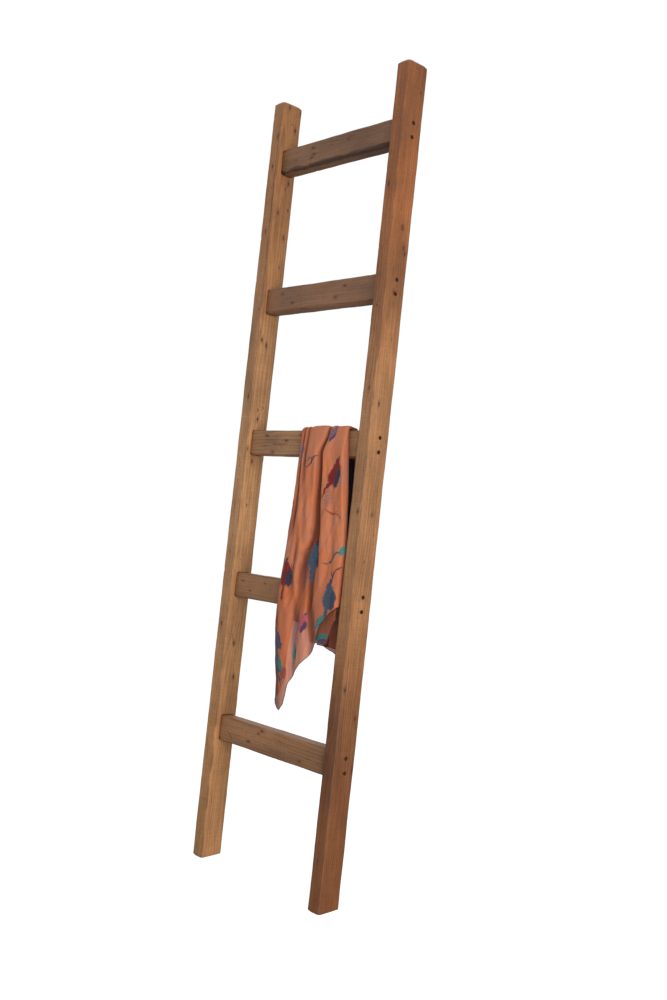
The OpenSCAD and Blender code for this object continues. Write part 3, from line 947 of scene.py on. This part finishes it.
# lay the sheet
rows = np.linspace(0, 1, scarf_rows)[None, :]
way = front_end[:, None] + (back_end - front_end)[:, None] * rows
flat_z = np.where(way < knee, knee_z + (way - knee), front_turn.z + np.minimum(way, 0) * cos(lean))
behind = way > turn_length + top_length / 2
share, out = pleats(column_weights, flat_z)
left_edge = edges_at(flat_z, front_left)
front_x = left_edge + (edges_at(flat_z, front_right) - left_edge) * share
tail_drop = np.clip(way - back_start, 0, None)
back_x = -0.002 + 0.016 * smooth_step(tail_drop, 0, 0.5) + (0.150 + 0.004 * np.sin(tail_drop * 9)) * share
over = smooth_step(way, 0, back_start)
x = front_x * (1 - over) + back_x * over

# pleats are pressed flat on top of the rung and stand out less behind it
squash = 1 - 0.36 * smooth_step(way, -0.06, 0.004) + 0.14 * smooth_step(way, back_start, back_start + 0.1)
out = out * squash + 0.0008

# folds wander, and fine creases run down and across the bias
draw = np.random.default_rng(27)
free = smooth_step(-way, 0.02, 0.12) + smooth_step(way, back_start + 0.01, back_start + 0.12)
sway = np.zeros_like(x)
creases = np.zeros_like(x)
for number in range(9):
    across_wave = 2 * pi / draw.uniform(0.10, 0.26)
    down_wave = 2 * pi / draw.uniform(0.14, 0.42) * draw.choice((-1, 1))
    sway += draw.uniform(0.5, 1.0) * np.sin(across_wave * x + down_wave * way + draw.uniform(0, 6.3)) / 9
for number in range(16):
    across_wave = 2 * pi / draw.uniform(0.018, 0.05)
    down_wave = 2 * pi / draw.uniform(0.05, 0.22) * draw.choice((-1, 1))
    wave = np.sin(across_wave * x + down_wave * way + draw.uniform(0, 6.3) + 1.5 * sway)
    creases += draw.uniform(0.4, 1.0) * np.where(number % 2, wave, 0.7 - 1.4 * np.abs(wave)) / 16
middle = np.sin(pi * np.clip(share, 0, 1))
x = x + 0.011 * free * middle * sway
thickness = np.clip(out / 0.014, 0.0, 1.0)
out = out * (1 + 0.16 * free * sway) + 0.0066 * creases * thickness * (0.35 + 0.65 * free)
below_rung_two = smooth_step(-way, -knee + 0.02, -knee + 0.2)
out = out + 0.006 * below_rung_two * np.sin(26 * x + 11 * way) * thickness
out = np.maximum(out, 0.0003)
y, z = hang(way, out)


def cloth_mesh(name, x, y, z, uv):
    """A grid of points as an open sheet, with its flat coordinates as a UV map."""
    columns, rows = x.shape
    index = np.arange(columns * rows).reshape(columns, rows)
    quads = np.stack([index[:-1, :-1], index[1:, :-1], index[1:, 1:], index[:-1, 1:]], -1).reshape(-1, 4)
    mesh = bpy.data.meshes.new(name)
    points = np.stack([x, y, z], -1).reshape(-1, 3)
    mesh.from_pydata(points.tolist(), [], quads.tolist())
    layer = mesh.uv_layers.new(name="flat")
    layer.data.foreach_set("uv", uv.reshape(-1, 2)[quads.reshape(-1)].astype(np.float32).ravel())
    mesh.polygons.foreach_set("use_smooth", np.ones(len(quads), bool))
    return mesh


def settle(x, y, z, held, frames):
    """Let the laid sheet hang for a few frames, held where it crosses the rung.

    Every second point is solved, and the others are put between them."""
    columns = np.unique(np.append(np.arange(0, x.shape[0], 2), x.shape[0] - 1))
    lines = np.unique(np.append(np.arange(0, x.shape[1], 2), x.shape[1] - 1))
    grid = np.ix_(columns, lines)
    flat_uv = np.zeros(x[grid].shape + (2,))
    rough = bpy.data.objects.new("hanging", cloth_mesh("hanging", x[grid], y[grid], z[grid], flat_uv))
    bpy.context.collection.objects.link(rough)
    pins = rough.vertex_groups.new(name="held")
    for number, weight in enumerate(held[grid].ravel()):
        if weight > 0.01:
            pins.add([number], float(weight), "REPLACE")
    solids = []
    for node in ("rung_2", "rung_3", "right_rail"):
        solid = bpy.data.objects.new("solid", bpy.data.objects[node].data.copy())
        bpy.context.collection.objects.link(solid)
        solid.modifiers.new("solid", "COLLISION")
        solid.collision.thickness_outer = 0.0004
        solid.collision.cloth_friction = 20
        solids.append(solid)
    cloth = rough.modifiers.new("voile", "CLOTH")
    cloth.settings.quality = 6
    cloth.settings.mass = 0.00006
    cloth.settings.air_damping = 4
    cloth.settings.tension_stiffness = 12
    cloth.settings.compression_stiffness = 2
    cloth.settings.shear_stiffness = 0.6
    cloth.settings.bending_stiffness = 0.02
    cloth.settings.vertex_group_mass = "held"
    cloth.settings.pin_stiffness = 1
    cloth.collision_settings.distance_min = 0.0006
    cloth.collision_settings.use_self_collision = False
    cloth.point_cache.frame_start = 1
    cloth.point_cache.frame_end = frames
    for number in range(1, frames + 1):
        bpy.context.scene.frame_set(number)
    seen = rough.evaluated_get(bpy.context.evaluated_depsgraph_get())
    after = np.zeros(len(seen.data.vertices) * 3)
    seen.data.vertices.foreach_get("co", after)
    after = after.reshape(len(columns), len(lines), 3)
    before = np.stack([x[grid], y[grid], z[grid]], -1)
    moved = after - before
    bpy.context.scene.frame_set(1)
    for old in [rough] + solids:
        bpy.data.objects.remove(old)
    wide = np.stack([[np.interp(np.arange(x.shape[1]), lines, moved[c, :, k]) for c in range(len(columns))]
                     for k in range(3)], -1)
    full = np.zeros(x.shape + (3,))
    for k in range(3):
        for r in range(x.shape[1]):
            full[:, r, k] = np.interp(np.arange(x.shape[0]), columns, wide[:, r, k])
    return full


# the rung holds the cloth, and the side corners are caught between it and the outer layers
hidden = np.maximum(smooth_step(1 - reach_left, 0, 0.3), smooth_step(1 - reach_right, 0, 0.3))[:, None]
hidden = np.where(on_outer[:, None], 0, hidden)
held_from = -0.035 - 0.085 * hidden
held = smooth_step(way, held_from, held_from + 0.025)
held = held * (1 - smooth_step(way, back_start + 0.065, back_start + 0.095))
moved = settle(x, y, z, held, 14)
x, y, z = x + moved[..., 0], y + moved[..., 1], z + moved[..., 2]

half_diagonal = scarf_side / 2 ** 0.5
across_cloth = np.repeat(column_across[:, None], scarf_rows, 1)
along_cloth = way + half_diagonal - 0.6
flat = np.stack([(across_cloth + along_cloth) / 2 ** 0.5, (along_cloth - across_cloth) / 2 ** 0.5], -1)
scarf_mesh = cloth_mesh("voile_scarf", x, y, z, flat)
# painted shade, kept as a point attribute: the scarf's colour is darkened in the pleat valleys, where shade
# falls between the layers
pleat_shade = scarf_mesh.attributes.new("pleat_shade", "FLOAT", "POINT")
shade_amount = 1 - smooth_step(out / squash, 0.0080, 0.0160)
# painted shade: the flank of a pleat, seen through several layers at once, is darkened too, and so is every
# hidden inner layer
flank = np.abs(np.gradient(out, axis=0)) / np.maximum(np.abs(np.gradient(x, axis=0)), 1e-5)
shade_amount = np.maximum(shade_amount, 0.46 * smooth_step(flank, 0.45, 1.30))
shade_amount = np.where(on_outer[:, None], shade_amount, 0.6)
pleat_shade.data.foreach_set("value", shade_amount.astype(np.float32).ravel())
scarf = bpy.data.objects.new("voile_scarf", scarf_mesh)
bpy.context.collection.objects.link(scarf)


def rolled_hem(name, points, radius, sides=6):
    """A thin rolled edge along a line of points, closed at both ends."""
    line = points.copy()
    ahead_of = np.gradient(line, axis=0)
    ahead_of /= np.maximum(np.linalg.norm(ahead_of, axis=1, keepdims=True), 1e-9)
    first = np.cross(ahead_of, np.array([0.31, 0.90, 0.31]))
    first /= np.maximum(np.linalg.norm(first, axis=1, keepdims=True), 1e-9)
    second = np.cross(ahead_of, first)
    turns = np.arange(sides) * 2 * pi / sides
    rings = (line[:, None, :] + radius * (first[:, None, :] * np.cos(turns)[None, :, None]
                                          + second[:, None, :] * np.sin(turns)[None, :, None]))
    count = len(line)
    index = np.arange(count * sides).reshape(count, sides)
    after = np.roll(index, -1, 1)
    quads = np.stack([index[:-1], after[:-1], after[1:], index[1:]], -1).reshape(-1, 4).tolist()
    caps = [list(reversed(index[0].tolist())), index[-1].tolist()]
    mesh = bpy.data.meshes.new(name)
    mesh.from_pydata(rings.reshape(-1, 3).tolist(), [], quads + caps)
    mesh.polygons.foreach_set("use_smooth", np.ones(len(mesh.polygons), bool))
    work = bmesh.new()
    work.from_mesh(mesh)
    bmesh.ops.recalc_face_normals(work, faces=work.faces)
    work.to_mesh(mesh)
    work.free()
    made = bpy.data.objects.new(name, mesh)
    bpy.context.collection.objects.link(made)
    return made


cloth_points = np.stack([x, y, z], -1)
front_edge = rolled_hem("front_rolled_hem", cloth_points[:, 0], 0.0008)
back_edge = rolled_hem("back_rolled_hem", cloth_points[:, -1], 0.0008)


def motif_group(name, build, extra):
    """A printed motif over a colour. build(tree, x, y, given) paints it round its own centre."""
    tree = bpy.data.node_groups.new(name, "ShaderNodeTree")
    given, result = sockets(tree, {
        "Under": ("NodeSocketColor", (1, 1, 1, 1)),
        "Ink So Far": ("NodeSocketFloat", 0.0),
        "Flat": ("NodeSocketVector", None),
        "Centre": ("NodeSocketVector", None),
        "Angle": ("NodeSocketFloat", 0.0),
        "Size": ("NodeSocketFloat", 0.05),
        **extra,
    }, {"Color": "NodeSocketColor", "Ink": "NodeSocketFloat"})
    blur = add(tree, "ShaderNodeTexNoise", {"Vector": given["Flat"], "Scale": 75.0, "Detail": 1.5}).outputs[1]
    bleed = vectors(tree, "SCALE", vectors(tree, "SUBTRACT", blur, (0.5, 0.5, 0.5)), 0.010)
    away = vectors(tree, "SUBTRACT", vectors(tree, "ADD", given["Flat"], bleed), given["Centre"])
    back_angle = sums(tree, "MULTIPLY", given["Angle"], -1.0)
    turned_back = add(tree, "ShaderNodeVectorRotate", {"Vector": away, "Angle": back_angle},
                      rotation_type="Z_AXIS").outputs[0]
    own = vectors(tree, "SCALE", turned_back, sums(tree, "DIVIDE", 1.0, given["Size"]))
    own_x, own_y, nothing = add(tree, "ShaderNodeSeparateXYZ", {0: own}).outputs
    colour = given["Under"]
    ink = given["Ink So Far"]
    for mask, paint in build(tree, own_x, own_y, given):
        colour = mix(tree, mask, colour, paint)
        ink = sums(tree, "MAXIMUM", ink, mask)
    tree.links.new(colour, result.inputs["Color"])
    tree.links.new(ink, result.inputs["Ink"])
    return tree


def oval(tree, x, y, centre, radii, tilt=0.0, soft=0.35):
    """Mask of a tilted oval with soft edges."""
    dx = sums(tree, "SUBTRACT", x, centre[0])
    dy = sums(tree, "SUBTRACT", y, centre[1])
    along = sums(tree, "MULTIPLY_ADD", dx, cos(tilt), sums(tree, "MULTIPLY", dy, sin(tilt)))
    beside = sums(tree, "MULTIPLY_ADD", dy, cos(tilt), sums(tree, "MULTIPLY", dx, -sin(tilt)))
    squares = []
    for distance, radius in ((along, radii[0]), (beside, radii[1])):
        part = sums(tree, "ABSOLUTE", sums(tree, "DIVIDE", distance, radius))
        squares.append(sums(tree, "POWER", part, 2.0))
    return ramp(tree, sums(tree, "ADD", *squares), 1.0 + soft, 1.0 - soft)


def paint_bird(tree, x, y, given):
    breast = oval(tree, x, y, (0.0, 0.0), (0.52, 0.33))
    head = oval(tree, x, y, (0.42, 0.12), (0.20, 0.18))
    body = sums(tree, "MAXIMUM", breast, head)
    beak = oval(tree, x, y, (0.66, 0.13), (0.14, 0.05))
    tail = oval(tree, x, y, (-0.72, -0.02), (0.46, 0.085), 0.12)
    wing = oval(tree, x, y, (-0.06, -0.22), (0.42, 0.15), 0.10)
    return [(sums(tree, "MAXIMUM", body, tail), given["Body"]),
            (sums(tree, "MAXIMUM", wing, beak), given["Wing"])]


def paint_twig(tree, x, y, given):
    bend = sums(tree, "MULTIPLY", sums(tree, "SINE", sums(tree, "MULTIPLY", x, 3.4)), 0.16)
    off = sums(tree, "ABSOLUTE", sums(tree, "SUBTRACT", y, bend))
    thick = sums(tree, "SUBTRACT", 0.075, sums(tree, "MULTIPLY", sums(tree, "ABSOLUTE", x), 0.05))
    inside = ramp(tree, sums(tree, "ABSOLUTE", x), 1.05, 0.95)
    stem = sums(tree, "MULTIPLY", ramp(tree, sums(tree, "SUBTRACT", off, thick), 0.05, -0.03), inside)
    spur = oval(tree, x, y, (0.12, 0.26), (0.26, 0.045), 1.1)
    leaf = sums(tree, "MULTIPLY", oval(tree, x, y, (0.86, 0.10), (0.36, 0.20), 0.5), given["Leafy"])
    return [(sums(tree, "MAXIMUM", stem, spur), given["Stem"]), (leaf, given["Leaf"])]


songbird = motif_group("Songbird", paint_bird, {
    "Body": ("NodeSocketColor", (0.14, 0.02, 0.016, 1)), "Wing": ("NodeSocketColor", (0.03, 0.03, 0.05, 1))})
twig = motif_group("Twig", paint_twig, {
    "Stem": ("NodeSocketColor", (0.06, 0.025, 0.016, 1)), "Leaf": ("NodeSocketColor", (0.05, 0.16, 0.14, 1)),
    "Leafy": ("NodeSocketFloat", 1.0)})

red, navy, teal = (0.25, 0.022, 0.020, 1), (0.045, 0.045, 0.075, 1), (0.08, 0.25, 0.23, 1)
slate, plum, brown = (0.075, 0.115, 0.17, 1), (0.13, 0.07, 0.15, 1), (0.15, 0.045, 0.024, 1)
pink, grey = (0.62, 0.13, 0.17, 1), (0.26, 0.15, 0.20, 1)
rust, haze = (0.42, 0.075, 0.022, 1), (0.56, 0.22, 0.145, 1)
# motifs on the outer layer: group, X, height, angle, size, then its two colours and, for twigs, leaf or none
front_print = [
    (songbird, 0.150, 1.008, 56, 0.060, red, navy, None),
    (songbird, 0.119, 1.103, 50, 0.034, grey, plum, None),
    (twig, 0.062, 1.036, 40, 0.024, navy, grey, 0.0),
    (songbird, 0.012, 1.060, 80, 0.036, grey, plum, None),
    (twig, 0.104, 0.945, 100, 0.022, brown, brown, 1.0),
    (twig, 0.160, 0.912, -25, 0.028, rust, rust, 0.0),
    (songbird, 0.132, 0.948, 70, 0.040, haze, haze, None),
    (twig, 0.176, 0.810, 30, 0.036, slate, teal, 1.0),
    (songbird, 0.100, 0.805, 84, 0.052, slate, navy, None),
    (twig, 0.082, 0.835, 60, 0.020, red, red, 0.0),
    (songbird, 0.008, 0.753, 84, 0.056, red, navy, None),
    (twig, 0.030, 0.772, -40, 0.014, navy, navy, 0.0),
    (twig, 0.182, 0.762, 55, 0.034, navy, navy, 0.0),
    (songbird, 0.173, 0.715, 80, 0.056, slate, (0.05, 0.07, 0.12, 1), None),
    (songbird, 0.080, 0.642, 50, 0.042, pink, plum, None),
    (songbird, -0.013, 0.588, 93, 0.044, plum, slate, None),
    (songbird, -0.010, 0.532, 97, 0.046, slate, teal, None),
    (songbird, 0.051, 0.566, 80, 0.034, teal, navy, None),
    (songbird, 0.022, 0.512, 60, 0.026, (0.46, 0.10, 0.07, 1), (0.48, 0.13, 0.09, 1), None),
    (songbird, 0.150, 0.655, 35, 0.034, teal, slate, None),
    (twig, 0.090, 0.962, 80, 0.020, brown, brown, 1.0),
    (twig, 0.079, 0.781, 84, 0.022, plum, plum, 0.0),
    (twig, 0.047, 1.040, 20, 0.016, plum, plum, 0.0),
]


def on_cloth(at_x, at_z):
    """Flat place, across and along the hang, of a point seen on the outer layer."""
    wide = (at_x - edges_at(at_z, front_left)) / (edges_at(at_z, front_right) - edges_at(at_z, front_left))
    outer = np.linspace(first_outer + 1, last_outer - 1, 200)
    share, out = pleats(spline_weights(outer), np.full((200, 1), at_z))
    place = outer[np.argmin(np.abs(share[:, 0] - wide))]
    return np.interp(place, fine_places, girth) - tip_girth, float(front_way(np.array(at_z)))


def voile_material():
    """Sheer coral voile with a songbird print, seen through from both sides."""
    made = bpy.data.materials.new("printed_voile")
    made.use_nodes = True
    tree = made.node_tree
    surface = tree.nodes["Principled BSDF"]
    flat_uv = add(tree, "ShaderNodeUVMap", uv_map="flat").outputs[0]
    laid = add(tree, "ShaderNodeMapping", {
        "Vector": flat_uv, "Location": (0, 0.6 - half_diagonal, 0), "Rotation": (0, 0, pi / 4)}).outputs[0]
    ground = noise(tree, flat_uv, 14.0, 3.0)
    colour = mix(tree, ramp(tree, ground, 0.35, 0.7), (0.83, 0.260, 0.111, 1), (0.72, 0.275, 0.157, 1))
    # many layers lie on each other below the second rung, and the colour is painted darker and deeper there:
    # painted shade, standing in for the light that the stacked layers hold back
    across_at, along_at, nothing = add(tree, "ShaderNodeSeparateXYZ", {0: laid}).outputs
    stacked_shade = sums(tree, "MULTIPLY", ramp(tree, along_at, -0.22, -0.44), ramp(tree, along_at, -0.69, -0.60))
    colour = mix(tree, stacked_shade, colour, vectors(tree, "MULTIPLY", colour, (0.93, 0.83, 0.76)))
    # painted shade: pleat valleys, pleat flanks and hidden inner layers are mixed towards dark brown
    pleat_shade = add(tree, "ShaderNodeAttribute", attribute_name="pleat_shade").outputs["Fac"]
    colour = mix(tree, sums(tree, "MULTIPLY", pleat_shade, 0.92), colour, (0.19, 0.044, 0.022, 1))
    ink = 0.0

    def stamp(group, centre, angle, size, first, second, leafy, colour, ink):
        names = ("Body", "Wing") if group == songbird else ("Stem", "Leaf")
        given = {"Under": colour, "Ink So Far": ink, "Flat": laid, "Centre": centre, "Angle": angle,
                 "Size": size, names[0]: first, names[1]: second}
        if leafy is not None:
            given["Leafy"] = leafy
        return add(tree, "ShaderNodeGroup", given, node_tree=group).outputs

    for group, at_x, at_z, angle, size, first, second, leafy in front_print:
        place = (*on_cloth(at_x, at_z), 0)
        colour, ink = stamp(group, place, radians(angle), size, first, second, leafy, colour, ink)

    # everywhere else one bird in each cell of a loose grid
    cell_size = 0.092
    grid_start = (0.31, 0.17, 0.0)
    moved = vectors(tree, "ADD", laid, grid_start)
    cell = vectors(tree, "FLOOR", vectors(tree, "SCALE", moved, 1 / cell_size))
    chance = add(tree, "ShaderNodeTexWhiteNoise", {"Vector": cell}, noise_dimensions="3D")
    jitter = vectors(tree, "SCALE", vectors(tree, "SUBTRACT", chance.outputs["Color"], (0.5, 0.5, 0.5)), 0.35)
    cell_middle = vectors(tree, "ADD", cell, (0.5, 0.5, 0.0))
    centre = vectors(tree, "SCALE", vectors(tree, "ADD", cell_middle, jitter), cell_size)
    centre = vectors(tree, "SUBTRACT", vectors(tree, "MULTIPLY", centre, (1.0, 1.0, 0.0)), grid_start)
    pick = chance.outputs["Value"]
    inks = []
    for tones in ((red, teal, slate, pink, red, slate), (navy, plum, navy, plum, brown, teal)):
        chooser = add(tree, "ShaderNodeValToRGB", {0: pick})
        choice = chooser.color_ramp
        choice.interpolation = "CONSTANT"
        choice.elements.remove(choice.elements[1])
        choice.elements[0].color = tones[0]
        for number in range(1, len(tones)):
            choice.elements.new(number / len(tones)).color = tones[number]
        inks.append(chooser.outputs[0])
    turn_by = sums(tree, "MULTIPLY", pick, 37.0)
    bird_out = stamp(songbird, centre, turn_by, 0.034, inks[0], inks[1], None, colour, ink)
    across_at, along_at, nothing = add(tree, "ShaderNodeSeparateXYZ", {0: laid}).outputs
    on_outer = sums(tree, "MULTIPLY", ramp(tree, across_at, left_fold - 0.002, left_fold + 0.002),
                    ramp(tree, across_at, right_fold + 0.012, right_fold + 0.008))
    on_front = sums(tree, "MULTIPLY", on_outer, ramp(tree, along_at, 0.01, 0.0))
    elsewhere = sums(tree, "SUBTRACT", 1.0, on_front)
    colour = mix(tree, elsewhere, colour, bird_out[0])
    ink_elsewhere = sums(tree, "MULTIPLY", elsewhere, bird_out[1])
    ink = sums(tree, "ADD", sums(tree, "MULTIPLY", on_front, ink), ink_elsewhere)

    # painted shade: large dark birds inside the back corner, near its right edge, stand in for the deep shade
    # between the front tail and the rail
    for past, down, tone in (
            (0.040, 0.095, navy), (0.046, 0.165, navy), (0.040, 0.235, navy), (0.110, 0.500, plum)):
        place = (right_fold + past, back_start + down, 0)
        colour, ink = stamp(songbird, place, radians(88), 0.080, tone, navy, None, colour, ink)

    # the dye has taken unevenly
    patchy = add(tree, "ShaderNodeTexNoise", {
        "Vector": flat_uv, "Scale": 260.0, "Detail": 3.0, "Roughness": 0.65}).outputs[0]
    strength = ramp(tree, patchy, 0.3, 0.7, 0.78, 1.25)
    inked = vectors(tree, "SCALE", colour, strength)
    colour = mix(tree, sums(tree, "MINIMUM", ink, 1.0), colour, inked)

    # plain weave, one thread over and one under, on the straight grain
    thread = 2 * pi / 0.0009
    threads = vectors(tree, "SCALE", flat_uv, thread)
    warp, weft, nothing = add(tree, "ShaderNodeSeparateXYZ", {0: threads}).outputs
    weave = sums(tree, "MULTIPLY", sums(tree, "SINE", warp), sums(tree, "SINE", weft))
    slubs = noise(tree, vectors(tree, "MULTIPLY", flat_uv, (30.0, 900.0, 1.0)), 1.0, 1.0)
    facing = add(tree, "ShaderNodeLayerWeight", {"Blend": 0.35}).outputs["Facing"]
    solid = sums(tree, "ADD", 0.91, sums(tree, "MULTIPLY", facing, 0.08))
    solid = sums(tree, "ADD", solid, sums(tree, "MULTIPLY", ink, 0.10))
    solid = sums(tree, "ADD", solid, sums(tree, "MULTIPLY", weave, 0.04))
    solid = sums(tree, "MINIMUM", solid, 1.0)
    height = sums(tree, "ADD", sums(tree, "MULTIPLY", weave, 0.5), slubs)
    tree.links.new(colour, surface.inputs["Base Color"])
    tree.links.new(solid, surface.inputs["Alpha"])
    surface.inputs["Roughness"].default_value = 0.85
    surface.inputs["Specular IOR Level"].default_value = 0.12
    surface.inputs["Sheen Weight"].default_value = 0.12
    bump = add(tree, "ShaderNodeBump", {"Height": height, "Strength": 0.25, "Distance": 0.0002})
    tree.links.new(bump.outputs[0], surface.inputs["Normal"])
    return made


def hem_material():
    """The rolled edge, overlocked in a dark thread."""
    made = bpy.data.materials.new("hem_thread")
    made.use_nodes = True
    tree = made.node_tree
    surface = tree.nodes["Principled BSDF"]
    where = add(tree, "ShaderNodeTexCoord").outputs["Object"]
    stitches = noise(tree, where, 900.0, 1.0)
    colour = mix(tree, ramp(tree, stitches, 0.35, 0.65), (0.035, 0.03, 0.04, 1), (0.16, 0.07, 0.06, 1))
    tree.links.new(colour, surface.inputs["Base Color"])
    surface.inputs["Roughness"].default_value = 0.8
    bump = add(tree, "ShaderNodeBump", {"Height": stitches, "Strength": 0.5, "Distance": 0.0003})
    tree.links.new(bump.outputs[0], surface.inputs["Normal"])
    return made


scarf_mesh.materials.append(voile_material())
thread_look = hem_material()
for edge in (front_edge, back_edge):
    edge.data.materials.append(thread_look)
    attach(edge, "scarf")
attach(scarf, "scarf")
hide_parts("scarf")
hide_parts("front_hem")
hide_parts("back_hem")

# ---------------------------------------------------------------- THE STUDIO
# A white room: a pale floor, a large soft light high on the right and a weak
# one on the left, and a white background.

floor_mesh = bpy.data.meshes.new("floor")
floor_mesh.from_pydata([(-30, -30, 0), (30, -30, 0), (30, 30, 0), (-30, 30, 0)], [], [(0, 1, 2, 3)])
floor = bpy.data.objects.new("floor", floor_mesh)
bpy.context.collection.objects.link(floor)
paint = bpy.data.materials.new("white_floor")
paint.use_nodes = True
floor_surface = paint.node_tree.nodes["Principled BSDF"]
floor_surface.inputs["Base Color"].default_value = (0.62, 0.62, 0.62, 1)
floor_surface.inputs["Roughness"].default_value = 0.9
floor_surface.inputs["Specular IOR Level"].default_value = 0.1
floor_paths = add(paint.node_tree, "ShaderNodeLightPath").outputs["Is Camera Ray"]
floor_glow = sums(paint.node_tree, "MULTIPLY", floor_paths, 0.85)
floor_surface.inputs["Emission Color"].default_value = (1, 1, 1, 1)
paint.node_tree.links.new(floor_glow, floor_surface.inputs["Emission Strength"])
floor_mesh.materials.append(paint)

world = bpy.data.worlds.new("white room")
world.use_nodes = True
sky = world.node_tree
sky_paths = add(sky, "ShaderNodeLightPath").outputs
glossy_sky = sums(sky, "MULTIPLY", sky_paths["Is Glossy Ray"], 0.8)
seen_sky = sums(sky, "MAXIMUM", sky_paths["Is Camera Ray"], glossy_sky)
sky_strength = sums(sky, "MULTIPLY_ADD", seen_sky, 0.78, 0.235)
background = sky.nodes["Background"]
background.inputs["Color"].default_value = (1, 1, 1, 1)
sky.links.new(sky_strength, background.inputs["Strength"])
bpy.context.scene.world = world


def soft_light(name, position, aim, size, power, colour):
    lamp = bpy.data.lights.new(name, "AREA")
    lamp.shape = "RECTANGLE"
    lamp.size, lamp.size_y = size
    lamp.energy = power
    lamp.color = colour
    holder = bpy.data.objects.new(name, lamp)
    aimed = (Vector(aim) - Vector(position)).to_track_quat("-Z", "Y").to_matrix().to_4x4()
    holder.matrix_world = Matrix.Translation(position) @ aimed
    bpy.context.collection.objects.link(holder)


soft_light("window", (2.85, -1.2, 1.05), (0, -0.1, 1.0), (2.2, 2.0), 66, (1.0, 0.98, 0.95))
soft_light("ceiling", (0.4, -0.6, 3.6), (0, -0.1, 1.0), (2.4, 2.4), 20, (1.0, 1.0, 1.0))
soft_light("fill", (-2.6, -2.6, 1.6), (0, 0, 1.0), (2.0, 2.0), 6, (0.95, 0.97, 1.0))
bpy.context.scene.view_settings.view_transform = "Standard"
